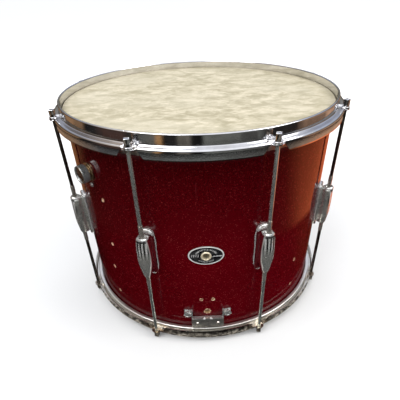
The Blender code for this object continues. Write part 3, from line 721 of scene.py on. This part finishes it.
def wrap_mesh():
    rows = 24
    low, high = 13.9, HEIGHT - 13.9
    profile = [(WRAP_RADIUS, high + (low - high) * index / rows) for index in range(rows + 1)]
    profile += [(WRAP_RADIUS - 0.48, low), (WRAP_RADIUS - 0.48, high)]
    mesh = smooth(lathe("wrap", profile, 360))
    through = BARE_HOLES + [(0.0, MIDDLE, 5.4), (TONE_BEARING, TONE_HEIGHT, 4.2)]
    through += [(side * BOLT_BEARING, BOLT_HEIGHT, 2.8) for side in (-1, 1)]
    return drilled(mesh, [(radius, 186, 193, facing(*spot)) for *spot, radius in through], 28)


piece("sparkle_wrap", wrap_mesh(), SPARKLE, "sparkle_wrap", ["shell_wrap"])


def burr_mesh():
    """Chipped plastic and bare wood round each old screw hole."""
    rings = []
    for bearing, height, radius in BARE_HOLES:
        lip = rounded([
            (radius + 0.75, 0.04, 0.1), (radius + 0.25, 0.34, 0.15), (radius - 0.3, 0.2, 0.1),
            (radius - 0.3, -0.45, 0), (radius - 0.02, -0.45, 0), (radius - 0.02, -0.02, 0),
        ], True, 3)
        phase = random.random() * 6

        def chipped(angle, r, z, phase=phase):
            if z < 0.02:
                return r
            return r + 0.16 * sin(3 * angle + phase) + 0.1 * sin(7 * angle + 2 * phase)

        ring = lathe("lip", lip, 28, True, chipped)
        ring.transform(facing(bearing, height) @ shift(0, 0, WRAP_RADIUS))
        rings.append(ring)
    return smooth(joined("hole_lips", rings))


def burr_material():
    n = Material("chipped_edge")
    patch = n.noise(500.0, 3.0, 0.6)
    return n.made(
        n.mix(n.fade(patch, 0.42, 0.6), (0.2, 0.05, 0.03), (0.78, 0.58, 0.36)),
        n.fade(patch, 0.3, 0.7, 0.35, 0.6),
        n.bump(n.noise(1400.0), 0.3, 0.0003),
    )


piece("hole_lips", burr_mesh(), burr_material(), "sparkle_wrap")

FILM_TOP, FILM_UNDER, COLLAR_END = 308.0, 307.6, 304.0
FILM_PROFILE = [(20.0 * index, FILM_TOP) for index in range(9)]
FILM_PROFILE += [(175.0, FILM_TOP), (184.0, FILM_TOP)]
FILM_PROFILE += rounded([
    (186.0, FILM_TOP, 0), (191.2, FILM_TOP, 1.3), (191.2, COLLAR_END, 0), (190.8, COLLAR_END, 0),
    (190.8, FILM_UNDER, 1.0), (186.0, FILM_UNDER, 0),
], False, 6) + [(0.0, FILM_UNDER)]
FILM_MESH = smooth(lathe("film", FILM_PROFILE, 240, ring=False))
piece("top_film", FILM_MESH, FILM, "head_film", ["top_head"])
piece("bottom_film", FILM_MESH, FILM, "head_film", ["bottom_head"], FLIP)

FLESH_PROFILE = rounded([
    (197.4, HEIGHT - 16.0, 1.0), (197.4, HEIGHT - 25.0, 1.6), (191.6, HEIGHT - 25.0, 0.8),
    (191.6, HEIGHT - 16.0, 0.8),
], True, 5)
FLESH_MESH = smooth(lathe("flesh_hoop", FLESH_PROFILE, 240))
piece("top_flesh_ring", FLESH_MESH, FLESH, "flesh_hoop_metal", ["top_flesh_hoop"])
piece("bottom_flesh_ring", FLESH_MESH, FLESH, "flesh_hoop_metal", ["bottom_flesh_hoop"], FLIP)

dress_node("shell", WOOD)
dress_node("muffler_arm", STEEL)
dress_node("muffler_felt", FELT)


# ---- tension rods and nuts
THREAD_PITCH = 0.8
KEY_HALF = 3.2


def rod_mesh(plating, head_plating):
    """A square-headed rod with a flange and a threaded end, its origin under the flange."""
    low = ROD_END - SEAT
    thread_top = NUT_TOP - SEAT
    profile = rounded([(0.0, 1.9, 0), (4.9, 1.9, 0.5), (4.9, 0.0, 0.3), (2.4, 0.0, 0.25)], False, 3)
    profile.append((2.4, thread_top + 1.0))
    height = thread_top
    while height > low + 1.2:
        profile += [(2.38, height), (2.12, height - THREAD_PITCH / 2)]
        height -= THREAD_PITCH
    profile += [(2.1, low + 0.5), (1.6, low), (0.0, low)]
    shank = smooth(lathe("rod", profile, 24, ring=False))
    head = block("head", (-KEY_HALF, -KEY_HALF, 0.9), (KEY_HALF, KEY_HALF, 11.0), 0.55, 3)
    dome = rounded([(0.0, 12.0, 0), (5.0, 10.6, 0.5), (5.0, 0.5, 0), (0.0, 0.5, 0)], False)
    head = boolean(head, lathe("dome", dome, 32, False), "INTERSECT")
    mesh = boolean(shank, head, "UNION", 35)
    mesh.materials.clear()
    for material in (plating, NICKEL, head_plating):
        mesh.materials.append(material)
    for face in mesh.polygons:
        height = face.center.z / MM
        face.material_index = 1 if height < thread_top + 0.9 else 2 if height > 0.8 else 0
    return mesh


NUT_RADIUS, NUT_BORE = 2.95, 2.5
NUT_PROFILE = [
    (NUT_RADIUS, NUT_TOP, 0.4), (NUT_RADIUS, NUT_LOW, 0.2), (NUT_BORE, NUT_LOW, 0),
    (NUT_BORE, NUT_TOP, 0.2),
]
NUT_MESH = smooth(lathe("nut", rounded(NUT_PROFILE, True, 3), 32))
# the lower rods' heads take the darker copy, as painted shade
HEAD_PLATING = {"top": CHROME, "bottom": LOW_ROD_CHROME}
END_PLACE = {"top": Matrix(), "bottom": FLIP}
RODS = {
    (end, side): (rod_mesh(plating, HEAD_PLATING[end]), plating)
    for end in HEAD_PLATING for side, plating in ((False, ROD_CHROME), (True, SHADED_ROD_CHROME))
}
for number, bearing in enumerate(STATIONS, 1):
    out = Matrix.Translation(turned_to(bearing) @ Vector((0, -ROD_CIRCLE * MM, 0)))
    for end in ("top", "bottom"):
        twist = turned_to(random.uniform(0, 90))
        piece(
            f"{end}_key_rod_{number}", *RODS[end, number in SIDE_RODS], "rod_chrome",
            [f"{end}_tension_rod_{number}"], out @ END_PLACE[end] @ shift(0, 0, SEAT) @ twist,
            f"{end}_rod_{number}",
        )
        piece(
            f"{end}_nut_sleeve_{number}", NUT_MESH, NICKEL, "nut_nickel",
            [f"{end}_swivel_nut_{number}"], out @ END_PLACE[end] @ twist,
        )


# ---- lugs
LUG_HALF = 32.0
FLANGE_HALF_WIDTH, FLANGE_HALF_LENGTH = 11.5, 35.6
# (sideways, radius) points round the casting, at its middle and at its ends
LUG_MID = [
    (0, 211.0), (4.6, 210.5), (8.3, 208.3), (9.9, 204.6), (9.8, 201.0),
    (9.0, 198.2), (8.7, 195.6), (9.3, 193.6), (9.8, 192.4),
]
LUG_END = [
    (0, 210.6), (3.7, 209.6), (6.1, 207.1), (6.95, 203.7), (6.7, 200.2),
    (5.8, 198.0), (5.4, 195.6), (6.0, 193.7), (6.4, 192.4),
]


def spline(points, per):
    """Smooth curve through points."""
    out = []
    count = len(points)
    for index in range(count - 1):
        p0 = Vector(points[max(index - 1, 0)])
        p1, p2 = Vector(points[index]), Vector(points[index + 1])
        p3 = Vector(points[min(index + 2, count - 1)])
        if index == 0:
            p0 = Vector((-points[1][0], points[1][1]))
        for step in range(per):
            t = step / per
            out.append(0.5 * (
                2 * p1 + (p2 - p0) * t + (2 * p0 - 5 * p1 + 4 * p2 - p3) * t * t
                + (3 * p1 - p0 - 3 * p2 + p3) * t ** 3
            ))
    out.append(Vector(points[-1]))
    return out


def lug_outline(height):
    """Points round the casting at a height from its middle, as (sideways, radius)."""
    blend = (abs(height) / LUG_HALF) ** 2
    half = [between(mid, end, blend) for mid, end in zip(LUG_MID, LUG_END)]
    flute = 1.15 * smoothstep(9.0, 26.0, height) if height < 28.0 else 0.0
    waist = 0.85 * smoothstep(26.6, 27.6, height) if height < 28.4 else 0.0
    taper = 1.0 - 0.24 * smoothstep(8.0, 30.0, -height) - 0.14 * smoothstep(28.0, 31.6, -height)
    spacing = 4.3 * (1 - 0.3 * blend)
    out = []
    for u, r in spline(half, 5):
        if r > 199.5:
            away = Vector((u, r - ROD_CIRCLE))
            size = away.length
            if r > 203.0:
                groove = max(exp(-((u - middle) / 0.9) ** 2) for middle in (0.0, spacing))
                size -= flute * groove
            away = away.normalized() * (size - waist)
            u, r = away.x * taper, ROD_CIRCLE + away.y * (taper if away.y > 0 else 1.0)
        else:
            u *= taper
        out.append((u, r))
    left = [(-u, r) for u, r in reversed(out[1:])]
    return out + left


# (radius, height) of the rings that close the casting's two ends
TOP_RINGS = (
    (5.6, 31.5), (5.2, 31.6), (5.0, 31.2), (5.0, 28.8), (3.8, 28.6), (3.8, 14.5), (2.0, 14.0),
)
LOW_RINGS = ((4.3, 32.0), (3.9, 32.1), (3.8, 31.6), (3.8, 14.5), (2.0, 14.0))


def lug_mesh(plating):
    heights = [-31.4, -30.2, -28.8, -27, -25, -22.5, -20, -17, -14, -11, -8, -4, 0, 4, 8, 11, 14]
    heights += [17, 20, 23, 25.5, 26.6, 27.2, 27.8, 28.3, 28.45, 29.0, 29.6]
    rings = []
    for height in heights:
        ring = []
        for u, r in lug_outline(height):
            away = hypot(u, r - ROD_CIRCLE)
            drop = max(0.0, away - 7.4) * 0.75 * smoothstep(22.0, 31.5, abs(height))
            ring.append((u, -r, height - copysign(drop, height)))
        rings.append(ring)
    count = len(rings[0])

    def end_rings(side, circles):
        """The rim, the socket, its floor, and the blind bore, from the outside in."""
        return [
            [(across, -ROD_CIRCLE - out, side * height) for out, across in circle(radius, count)]
            for radius, height in circles
        ]

    rings = end_rings(-1, LOW_RINGS)[::-1] + rings + end_rings(1, TOP_RINGS)
    verts = [point for ring in rings for point in ring]
    faces = bands(len(rings), count)
    faces.append(list(range(count - 1, -1, -1)))
    faces.append([(len(rings) - 1) * count + index for index in range(count)])
    mesh = smooth(joined("lug", [make_mesh("lug_body", verts, faces), flange_mesh()]), 38)
    mesh.materials.append(plating)
    return mesh


def flange_mesh():
    """The lug's flange: it follows the shell and has a rolled rim that lifts at its ends."""
    steps = 72
    levels = [
        (1.0, 0.0), (1.012, 0.7), (1.0, 1.6), (0.965, 2.25), (0.92, 2.45), (0.87, 2.2),
        (0.82, 1.75), (0.7, 1.6), (0.4, 1.6), (0.1, 1.6),
    ]
    back_radius = WRAP_RADIUS + 0.3
    verts = []

    def outline(step):
        angle = 2 * pi * (step + 0.5) / steps
        across, along = cos(angle), sin(angle)
        x = copysign(abs(across) ** 0.42, across) * FLANGE_HALF_WIDTH
        z = copysign(abs(along) ** 0.55, along) * FLANGE_HALF_LENGTH
        x *= 1.0 - 0.1 * exp(-(z / 9.0) ** 2)
        return x, z

    for scale, lift in levels:
        for step in range(steps):
            x, z = outline(step)
            end = smoothstep(22.0, 33.0, abs(z))
            curl = 0.8 + 0.9 * end
            x *= scale
            inward = (1 - scale) * (FLANGE_HALF_WIDTH + 16.0 * end)
            z -= copysign(inward, z) * min(1, abs(z) / 12)
            out = sqrt(back_radius ** 2 - x * x) + lift * curl
            verts.append((x, -out, z))
    for step in range(steps):
        x, z = outline(step)
        x, z = x * 0.1, z * 0.3
        verts.append((x, -sqrt(back_radius ** 2 - x * x), z))
    back = len(levels) * steps
    faces = bands(len(levels), steps)
    for step in range(steps):
        after = (step + 1) % steps
        faces.append([back + step, back + after, after, step])
    faces.append([back - steps + step for step in range(steps)])
    faces.append([back + step for step in reversed(range(steps))])
    return make_mesh("flange", verts, faces)


LUGS = {True: (lug_mesh(SHELL_REFLECTION_LUG), SHELL_REFLECTION_LUG), False: (lug_mesh(LUG_CHROME), LUG_CHROME)}
for number, bearing in enumerate(STATIONS, 1):
    place = shift(0, 0, MIDDLE) @ turned_to(bearing)
    lug = LUGS[number in FRONT_LUGS]
    piece(f"lug_casting_{number}", *lug, "lug_chrome", [f"lug_{number}"], place)


# ---- badge and vent
BADGE_HALF_WIDTH, BADGE_HALF_HEIGHT, BADGE_HOLE = 23.2, 14.3, 5.6


def badge_mesh(inner_scale, outer_scale, low, high, fill):
    """An oval ring or disc, bent to the shell."""
    steps = 72
    levels = [(outer_scale, low), (outer_scale, high - 0.12), (outer_scale - 0.012, high)]
    if fill:
        levels += [(0.7, high + 0.05), (0.5, high + 0.05)]
    else:
        levels += [(inner_scale + 0.012, high), (inner_scale, high - 0.12), (inner_scale, low)]
    ovals = [(BADGE_HALF_WIDTH * scale, BADGE_HALF_HEIGHT * scale, lift) for scale, lift in levels]
    if fill:
        ovals += [(BADGE_HOLE, BADGE_HOLE, high + 0.05), (BADGE_HOLE, BADGE_HOLE, low)]
    verts = []
    for width, tall, lift in ovals:
        for across, up in circle(1.0, steps):
            x = width * across
            verts.append((x, -(sqrt(WRAP_RADIUS ** 2 - x * x) + lift), MIDDLE + tall * up))
    return smooth(make_mesh("badge", verts, bands(len(ovals), steps, True)), 40)


piece("badge_field", badge_mesh(0, 0.955, 0.3, 1.0, True), ENAMEL, "badge_enamel", ["badge"])
piece("badge_border", badge_mesh(0.925, 1.0, 0.3, 1.35, False), BRIGHT, "fitting_chrome")


def badge_ornament():
    """Plain raised bars: one long rule beside the vent, and short rays above and below it."""
    bars = []

    def bar(x0, z0, x1, z1, width):
        length = hypot(x1 - x0, z1 - z0)
        shape = block("bar", (0, -width / 2, 0), (length, width / 2, 0.22), 0.06, 1)
        middle = (x0 + x1) / 2
        lift = sqrt(WRAP_RADIUS ** 2 - middle ** 2) + 1.04
        sweep = Matrix.Rotation(asin(middle / WRAP_RADIUS), 4, "Z")
        turn = Matrix.Rotation(atan2(z1 - z0, x1 - x0), 4, "Z")
        local = shift(x0 - middle, z0, 0) @ turn
        shape.transform(shift(middle, -lift, MIDDLE) @ sweep @ UPRIGHT @ local)
        bars.append(shape)

    bar(8.0, -1.3, 20.8, -1.3, 0.8)
    for index in range(-8, 9):
        angle = radians(90 + index * 8.5)
        for side in (1, -1):
            if side < 0 and abs(index) > 5:
                continue
            one = (12.2 * cos(angle), 9.0 * sin(angle) * side)
            two = (14.6 * cos(angle), 10.9 * sin(angle) * side)
            bar(one[0], one[1], two[0], two[1], 0.55)
    for index in range(4):
        bar(-18.6 + 2.7 * index, -2.2, -18.0 + 2.7 * index, 2.0, 0.7)
    return joined("ornament", bars)


piece("badge_ornament", smooth(badge_ornament()), BRIGHT, "fitting_chrome")

GROMMET = rounded([
    (6.95, 192.1, 0.2), (6.95, 192.8, 0.5), (5.8, 193.9, 0.9), (4.9, 193.4, 0.5), (4.6, 191.0, 0.2),
    (4.6, 182.2, 0.1), (6.6, 182.2, 0.2), (6.6, 183.0, 0.2), (5.0, 183.2, 0.2), (5.0, 192.1, 0.1),
])
piece(
    "vent_tube", smooth(lathe("grommet", GROMMET, 64)), BRASS, "vent_brass",
    ["vent_grommet"], facing(0.0, MIDDLE),
)


# ---- tone control
def knob_mesh():
    side = rounded([
        (9.7, 202.8, 0.1), (10.1, 204.2, 0.3), (11.2, 204.2, 0.4), (11.6, 203.4, 0.2),
        (11.6, 195.6, 0.3),
        (11.0, 194.8, 0.2), (3.5, 194.8, 0.1),
    ], False, 3)
    profile = [(0.0, 202.8)] + side + [(3.5, 169.0), (0.0, 169.0)]

    def ribs(angle, radius, height):
        if radius < 10.9 or height > 203.8 or height < 195.2:
            return radius
        return radius - 0.45 * (0.5 + 0.5 * cos(36 * angle)) ** 2

    knob = smooth(lathe("knob", profile, 216, False, ribs), 50)
    outline = []
    for turn in list(range(0, 171, 10)) + list(range(180, 360, 12)):
        radius = 5.5 + 6.0 * turn / 170 if turn <= 170 else 5.5
        angle = radians(turn)
        outline.append((-radius * sin(angle), radius * cos(angle)))
    cam = prism("cam", outline, 168.6, 173.0, 0.3)
    return boolean(knob, cam, "UNION", 40)


KNOB_PLACE = facing(TONE_BEARING, TONE_HEIGHT)
piece(
    "ribbed_knob", knob_mesh(), KNOB_CHROME, "fitting_chrome", ["tone_control_knob"], KNOB_PLACE,
    "tone_knob",
)
face_profile = rounded([
    (0.0, 203.35, 0), (6.5, 203.25, 2.0), (9.6, 202.95, 0.2), (9.6, 202.82, 0), (0.0, 202.82, 0),
], False, 5)
face_mesh = smooth(lathe("face", face_profile, 64, False))
piece("knob_face", face_mesh, KNOB_FACE, "badge_enamel", (), KNOB_PLACE, "tone_knob")
rim_profile = rounded([
    (10.0, 203.2, 0.1), (10.9, 204.5, 0.3), (11.3, 204.45, 0.2), (11.3, 204.1, 0.1),
    (10.3, 204.1, 0.1),
], True, 3)
rim_mesh = smooth(lathe("rim", rim_profile, 96))
piece("knob_rim", rim_mesh, GOLD, "fitting_chrome", (), KNOB_PLACE, "tone_knob")
collar_profile = rounded([
    (8.0, 194.5, 0.3), (8.0, 192.3, 0.4), (12.3, 191.9, 0.4), (12.3, 190.8, 0.2), (4.0, 190.8, 0),
    (4.0, 194.5, 0.1),
])
piece(
    "knob_collar", smooth(lathe("collar", collar_profile, 64)), GOLD, "fitting_chrome",
    ["tone_control_collar"], KNOB_PLACE,
)


SLOT_HALF = 0.4


def slotted_screw(name, radius, dome, low, shank, shank_low):
    """A round-headed screw with a slot, made along +Z with its head's base at low."""
    profile = rounded([
        (0.0, low + dome, 0), (radius * 0.72, low + dome * 0.86, 0.6), (radius, low + 0.3, 0.2),
        (radius, low, 0.1), (shank, low, 0), (shank, shank_low, 0), (0.0, shank_low, 0),
    ], False)
    body = smooth(lathe(name, profile, 40, False))
    slot = block(
        "slot", (-radius * 2, -SLOT_HALF, low + dome * 0.5), (radius * 2, SLOT_HALF, low + dome * 3)
    )
    return boolean(body, slot, "DIFFERENCE", 35)


piece(
    "tone_fixing_screw",
    slotted_screw("fixing", 3.1, 1.9, WRAP_RADIUS + 0.1, 1.5, WRAP_RADIUS + 0.05),
    FITTING, "fitting_chrome", (), facing(TONE_BEARING, 232.0),
)


# ---- snare butt
PLATE_BACK, PLATE_FRONT, PLATE_SCREW = 196.5, 198.0, 15


def plate_mesh():
    low, high, half = PLATE_LOW, PLATE_HIGH, PLATE_HALF
    outline = rounded([
        (-half, low, 1.2), (half, low, 1.2), (half, high, 3.2), (-half, high, 3.2),
    ])
    holes = [(2.0, 190, 205, shift(side * PLATE_SCREW, (low + high) / 2, 0)) for side in (-1, 1)]
    mesh = drilled(prism("plate", outline, PLATE_BACK, PLATE_FRONT, 0.3), holes, angle=35)
    mesh.transform(UPRIGHT)
    return mesh


piece("clamp_plate", plate_mesh(), STEEL, "plate_steel", ["butt_clamp_plate"])
prongs = []
for side in (-1, 1):
    points = [(7.4, 1.2, 0.2), (5.2, 5.2, 0.6), (3.8, 5.2, 0.6), (2.9, 1.2, 0.2)]
    outline = rounded([(side * x, PLATE_HIGH - 1.4 + z, r) for x, z, r in points])
    prong = prism("prong", outline, 198.05, 198.9, 0.2)
    prong.transform(UPRIGHT)
    prongs.append(prong)
piece("plate_prongs", smooth(joined("prongs", prongs)), BRIGHT, "plate_steel")
dress_node("butt_bracket", FITTING)
plate_screw = slotted_screw("plate_screw", 2.8, 1.9, 198.3, 1.6, 194.5)
for side, word, twist in ((-1, "left", 25), (1, "right", -50)):
    place = shift(side * PLATE_SCREW, 0, (PLATE_LOW + PLATE_HIGH) / 2) @ UPRIGHT @ turned_to(twist)
    hidden = [f"clamp_screw_{word}"]
    piece(f"plate_screw_{word}", plate_screw, NICKEL, "fitting_chrome", hidden, place)


BOLT_SEAT, BOLT_RADIUS, BOLT_HEAD = 192.8, 5.4, 4.0


def bolt_mesh():
    """A hexagon bolt with a chamfered head and a shallow dish in its top."""
    low, top = BOLT_SEAT, BOLT_SEAT + BOLT_HEAD
    head = prism("hex", circle(BOLT_RADIUS, 6), low, top, 0.15, 1)
    dome = lathe("dome", rounded([
        (0.0, top - 0.5, 0), (3.2, top - 0.5, 0.3), (3.7, top, 0.3), (4.4, top - 0.2, 0.2),
        (5.5, low + 3.1, 0.2), (5.5, low - 1, 0), (0.0, low - 1, 0)], False), 48, False)
    head = boolean(head, dome, "INTERSECT")
    shank = cylinder("shank", 2.2, 179.0, low + 1.0, 24)
    return boolean(head, shank, "UNION", 30)


bolt = bolt_mesh()
for side, word, twist in ((-1, "left", 10), (1, "right", 40)):
    place = facing(side * BOLT_BEARING, BOLT_HEIGHT) @ turned_to(twist)
    piece(f"hex_bolt_{word}", bolt, FITTING, "fitting_chrome", [f"butt_bolt_{word}"], place)


# ---- studio
def stage_material(name, middle, edge, rough):
    """Paper with painted shade in the middle: a little greyer where the lights fall strongest."""
    n = Material(name)
    colour = n.mix(n.fade(n.reach() * 0.5, 0.24, 0.6), middle, edge)
    cloud = n.fade(n.noise(2.0, 3.0, 0.5, n.place), 0.0, 1.0, 1.0, 0.985)
    n.to("Base Color", n.mix(1.0, colour, cloud, "MULTIPLY"))
    n.set(Roughness=rough, Specular_IOR_Level=0.1)
    return n.material


def stage_plane(name, half, height, material):
    mesh = bpy.data.meshes.new(name)
    corners = [(x * half, y * half, height) for x, y in ((-1, -1), (1, -1), (1, 1), (-1, 1))]
    mesh.from_pydata(corners, [], [(0, 1, 2, 3)])
    mesh.materials.append(material)
    item = add_object(name, mesh)
    return item


def room_floor_material():
    """What bright metal mirrors below the horizon, laid out in rings about the drum."""
    n = Material("dim_room_floor")
    reach, turn = n.reach(), n.turn()
    around = turn / (2 * pi) + 0.5
    far = n.ramp(around, [
        (0.0, 0.05, 0.032, 0.024), (0.09, 0.04, 0.026, 0.02), (0.12, 0.33, 0.19, 0.1),
        (0.23, 0.3, 0.17, 0.09), (0.245, 0.01, 0.01, 0.011), (0.272, 0.01, 0.01, 0.011),
        (0.282, 0.065, 0.035, 0.028), (0.345, 0.075, 0.042, 0.034), (0.355, 0.02, 0.018, 0.016),
        (0.385, 0.11, 0.11, 0.1), (0.41, 0.14, 0.13, 0.11), (0.414, 0.42, 0.23, 0.1),
        (0.422, 0.42, 0.23, 0.1), (0.427, 0.006), (0.452, 0.006),
        (0.457, 0.22, 0.2, 0.16), (0.476, 0.2, 0.18, 0.15), (0.482, 0.006),
        (0.5, 0.006), (0.506, 0.15, 0.155, 0.14), (0.61, 0.12, 0.12, 0.11),
        (0.63, 0.018), (0.7, 0.022, 0.018, 0.016), (0.725, 0.46, 0.27, 0.17),
        (0.82, 0.52, 0.31, 0.2), (0.9, 0.4, 0.24, 0.15), (1.0, 0.3, 0.18, 0.12),
    ])
    skirt = n.ramp(around, [
        (0.0, 0.06, 0.04, 0.03), (0.2, 0.16, 0.1, 0.06), (0.3, 0.05),
        (0.5, 0.085, 0.09, 0.085), (0.65, 0.06, 0.055, 0.05), (0.78, 0.26, 0.16, 0.1),
        (1.0, 0.12, 0.07, 0.05),
    ])
    blocks = n.split(n.voronoi(5.0, "Color", n.place))[0]
    far = n.mix(n.fade(blocks, 0.55, 0.75) * 0.6, far, (0.03, 0.028, 0.026))
    near = n.ramp(around, [
        (0.0, 0.4, 0.17, 0.06), (0.16, 0.34, 0.15, 0.06), (0.22, 0.03, 0.015, 0.01),
        (0.62, 0.003), (0.68, 0.16, 0.05, 0.02), (0.73, 1.1, 0.26, 0.09),
        (0.86, 0.95, 0.22, 0.08), (0.93, 0.22, 0.08, 0.04), (1.0, 0.4, 0.17, 0.06),
    ])
    facing_away = (1.0 - n.math("COSINE", turn)) * 0.5
    ring = reach / (1.0 + facing_away ** 1.3 * 0.22) - 0.3
    rows = n.ramp(ring, [
        (0.5, 0.0), (0.545, 2.2), (0.572, 2.4), (0.586, 0.12), (0.645, 0.16), (0.662, 1.0),
    ])
    far = n.mix(n.fade(ring, 0.645, 0.655), skirt, far)
    far = n.mix(1.0, far, rows, "MULTIPLY")
    colour = n.mix(n.fade(ring, 0.5, 0.52), near, far)
    colour = n.mix(1.0, colour, n.fade(reach, 0.375, 0.405, 0.1, 1.0), "MULTIPLY")
    pebble = n.ramp(n.noise(140.0, 3.0, 0.6, n.place), [(0.4, 0.04), (0.5, 0.2), (0.62, 0.75)])
    foot = n.fade(reach, 0.214, 0.222, 1.0, 0.0)
    colour = n.mix(foot, colour, n.mix(1.0, pebble, (0.7, 0.65, 0.59), "MULTIPLY"))
    n.tree.nodes.remove(n.shader)
    glow = n.add("ShaderNodeEmission", {"Color": colour})
    n.link(glow, n.tree.nodes["Material Output"].inputs["Surface"])
    return n.material


PALE_FLOOR = stage_material("pale_floor", (0.675, 0.675, 0.68), (0.95, 0.95, 0.955), 0.9)
stage_plane("floor", 30.0, 0.0, PALE_FLOOR)
card = stage_plane("room_floor_card", 30.0, 0.0004, room_floor_material())
card.visible_camera = card.visible_diffuse = card.visible_shadow = card.visible_transmission = False


def area_light(name, place, target, size, power, colour=(1, 1, 1)):
    data = bpy.data.lights.new(name, "AREA")
    data.shape = "RECTANGLE"
    data.size, data.size_y = size
    data.energy = power
    data.color = colour
    item = add_object(name, data)
    item.location = place
    item.rotation_euler = (Vector(target) - Vector(place)).to_track_quat("-Z", "Y").to_euler()
    return item


area_light("key", (-0.9, -0.9, 2.1), (0, 0, 0.2), (1.4, 0.9), 29)
area_light("fill", (1.5, -0.5, 1.8), (0, 0, 0.2), (1.0, 1.0), 21, (1.0, 0.97, 0.93))
back_light = area_light("back", (0.2, 1.9, 1.7), (0, 0, 0.25), (2.2, 0.7), 18, (0.93, 0.96, 1.0))
back_light.visible_glossy = False


def studio_world():
    """White all round for light, and a room that darkens towards the horizon for mirrors."""
    world = bpy.data.worlds.new("studio")
    world.use_nodes = True
    n = Nodes(world.node_tree)
    x, y, z = n.split(n.add("ShaderNodeTexCoord", {}, "Generated"))
    ahead = n.ramp(z, [
        (0.0, 0.05, 0.04, 0.03), (0.14, 0.09, 0.08, 0.06), (0.24, 0.2, 0.19, 0.17),
        (0.34, 0.36, 0.39, 0.48), (0.6, 0.46, 0.49, 0.58), (0.8, 0.95, 0.96, 1.0),
    ])
    behind = n.ramp(z, [
        (0.0, 0.02), (0.18, 0.03), (0.3, 0.6, 0.6, 0.62), (0.42, 0.95, 0.96, 1.0),
    ])
    in_front = n.add("ShaderNodeMapRange", {0: y, 1: -0.3, 2: 0.3})
    to_left = n.add("ShaderNodeMapRange", {0: x, 1: -0.35, 2: -0.8})
    tint = n.mix(to_left, (1.0, 1.0, 1.0), (0.55, 0.46, 0.37))
    room = n.mix(1.0, n.mix(in_front, behind, ahead), tint, "MULTIPLY")
    mirrored = n.add("ShaderNodeLightPath", {}, "Is Glossy Ray")
    background = n.tree.nodes["Background"].inputs
    n.link(n.mix(mirrored, (0.97, 0.985, 1.0), room), background["Color"])
    n.link(1.12, background["Strength"])
    return world


bpy.context.scene.world = studio_world()
bpy.context.scene.view_settings.view_transform = "Standard"


def add_camera():
    pitch, yaw, roll, turn = (radians(v) for v in (36.39, -0.02, -1.77, -0.93))
    place = Vector((0, -0.53685, 0.44277))
    forward = Vector((sin(yaw) * cos(pitch), cos(yaw) * cos(pitch), -sin(pitch)))
    right = forward.cross(Vector((0, 0, 1))).normalized()
    up = right.cross(forward)
    side = right * cos(roll) + up * sin(roll)
    top = up * cos(roll) - right * sin(roll)
    matrix = Matrix((side, top, -forward)).transposed().to_4x4()
    matrix.translation = place
    data = bpy.data.cameras.new("camera")
    data.sensor_width = 36.0
    data.lens = 31.58
    data.shift_x, data.shift_y = -0.0075, 0.0941
    data.clip_start = 0.01
    item = add_object("camera", data)
    item.matrix_world = Matrix.Rotation(turn, 4, "Z") @ matrix
    bpy.context.scene.camera = item


add_camera()
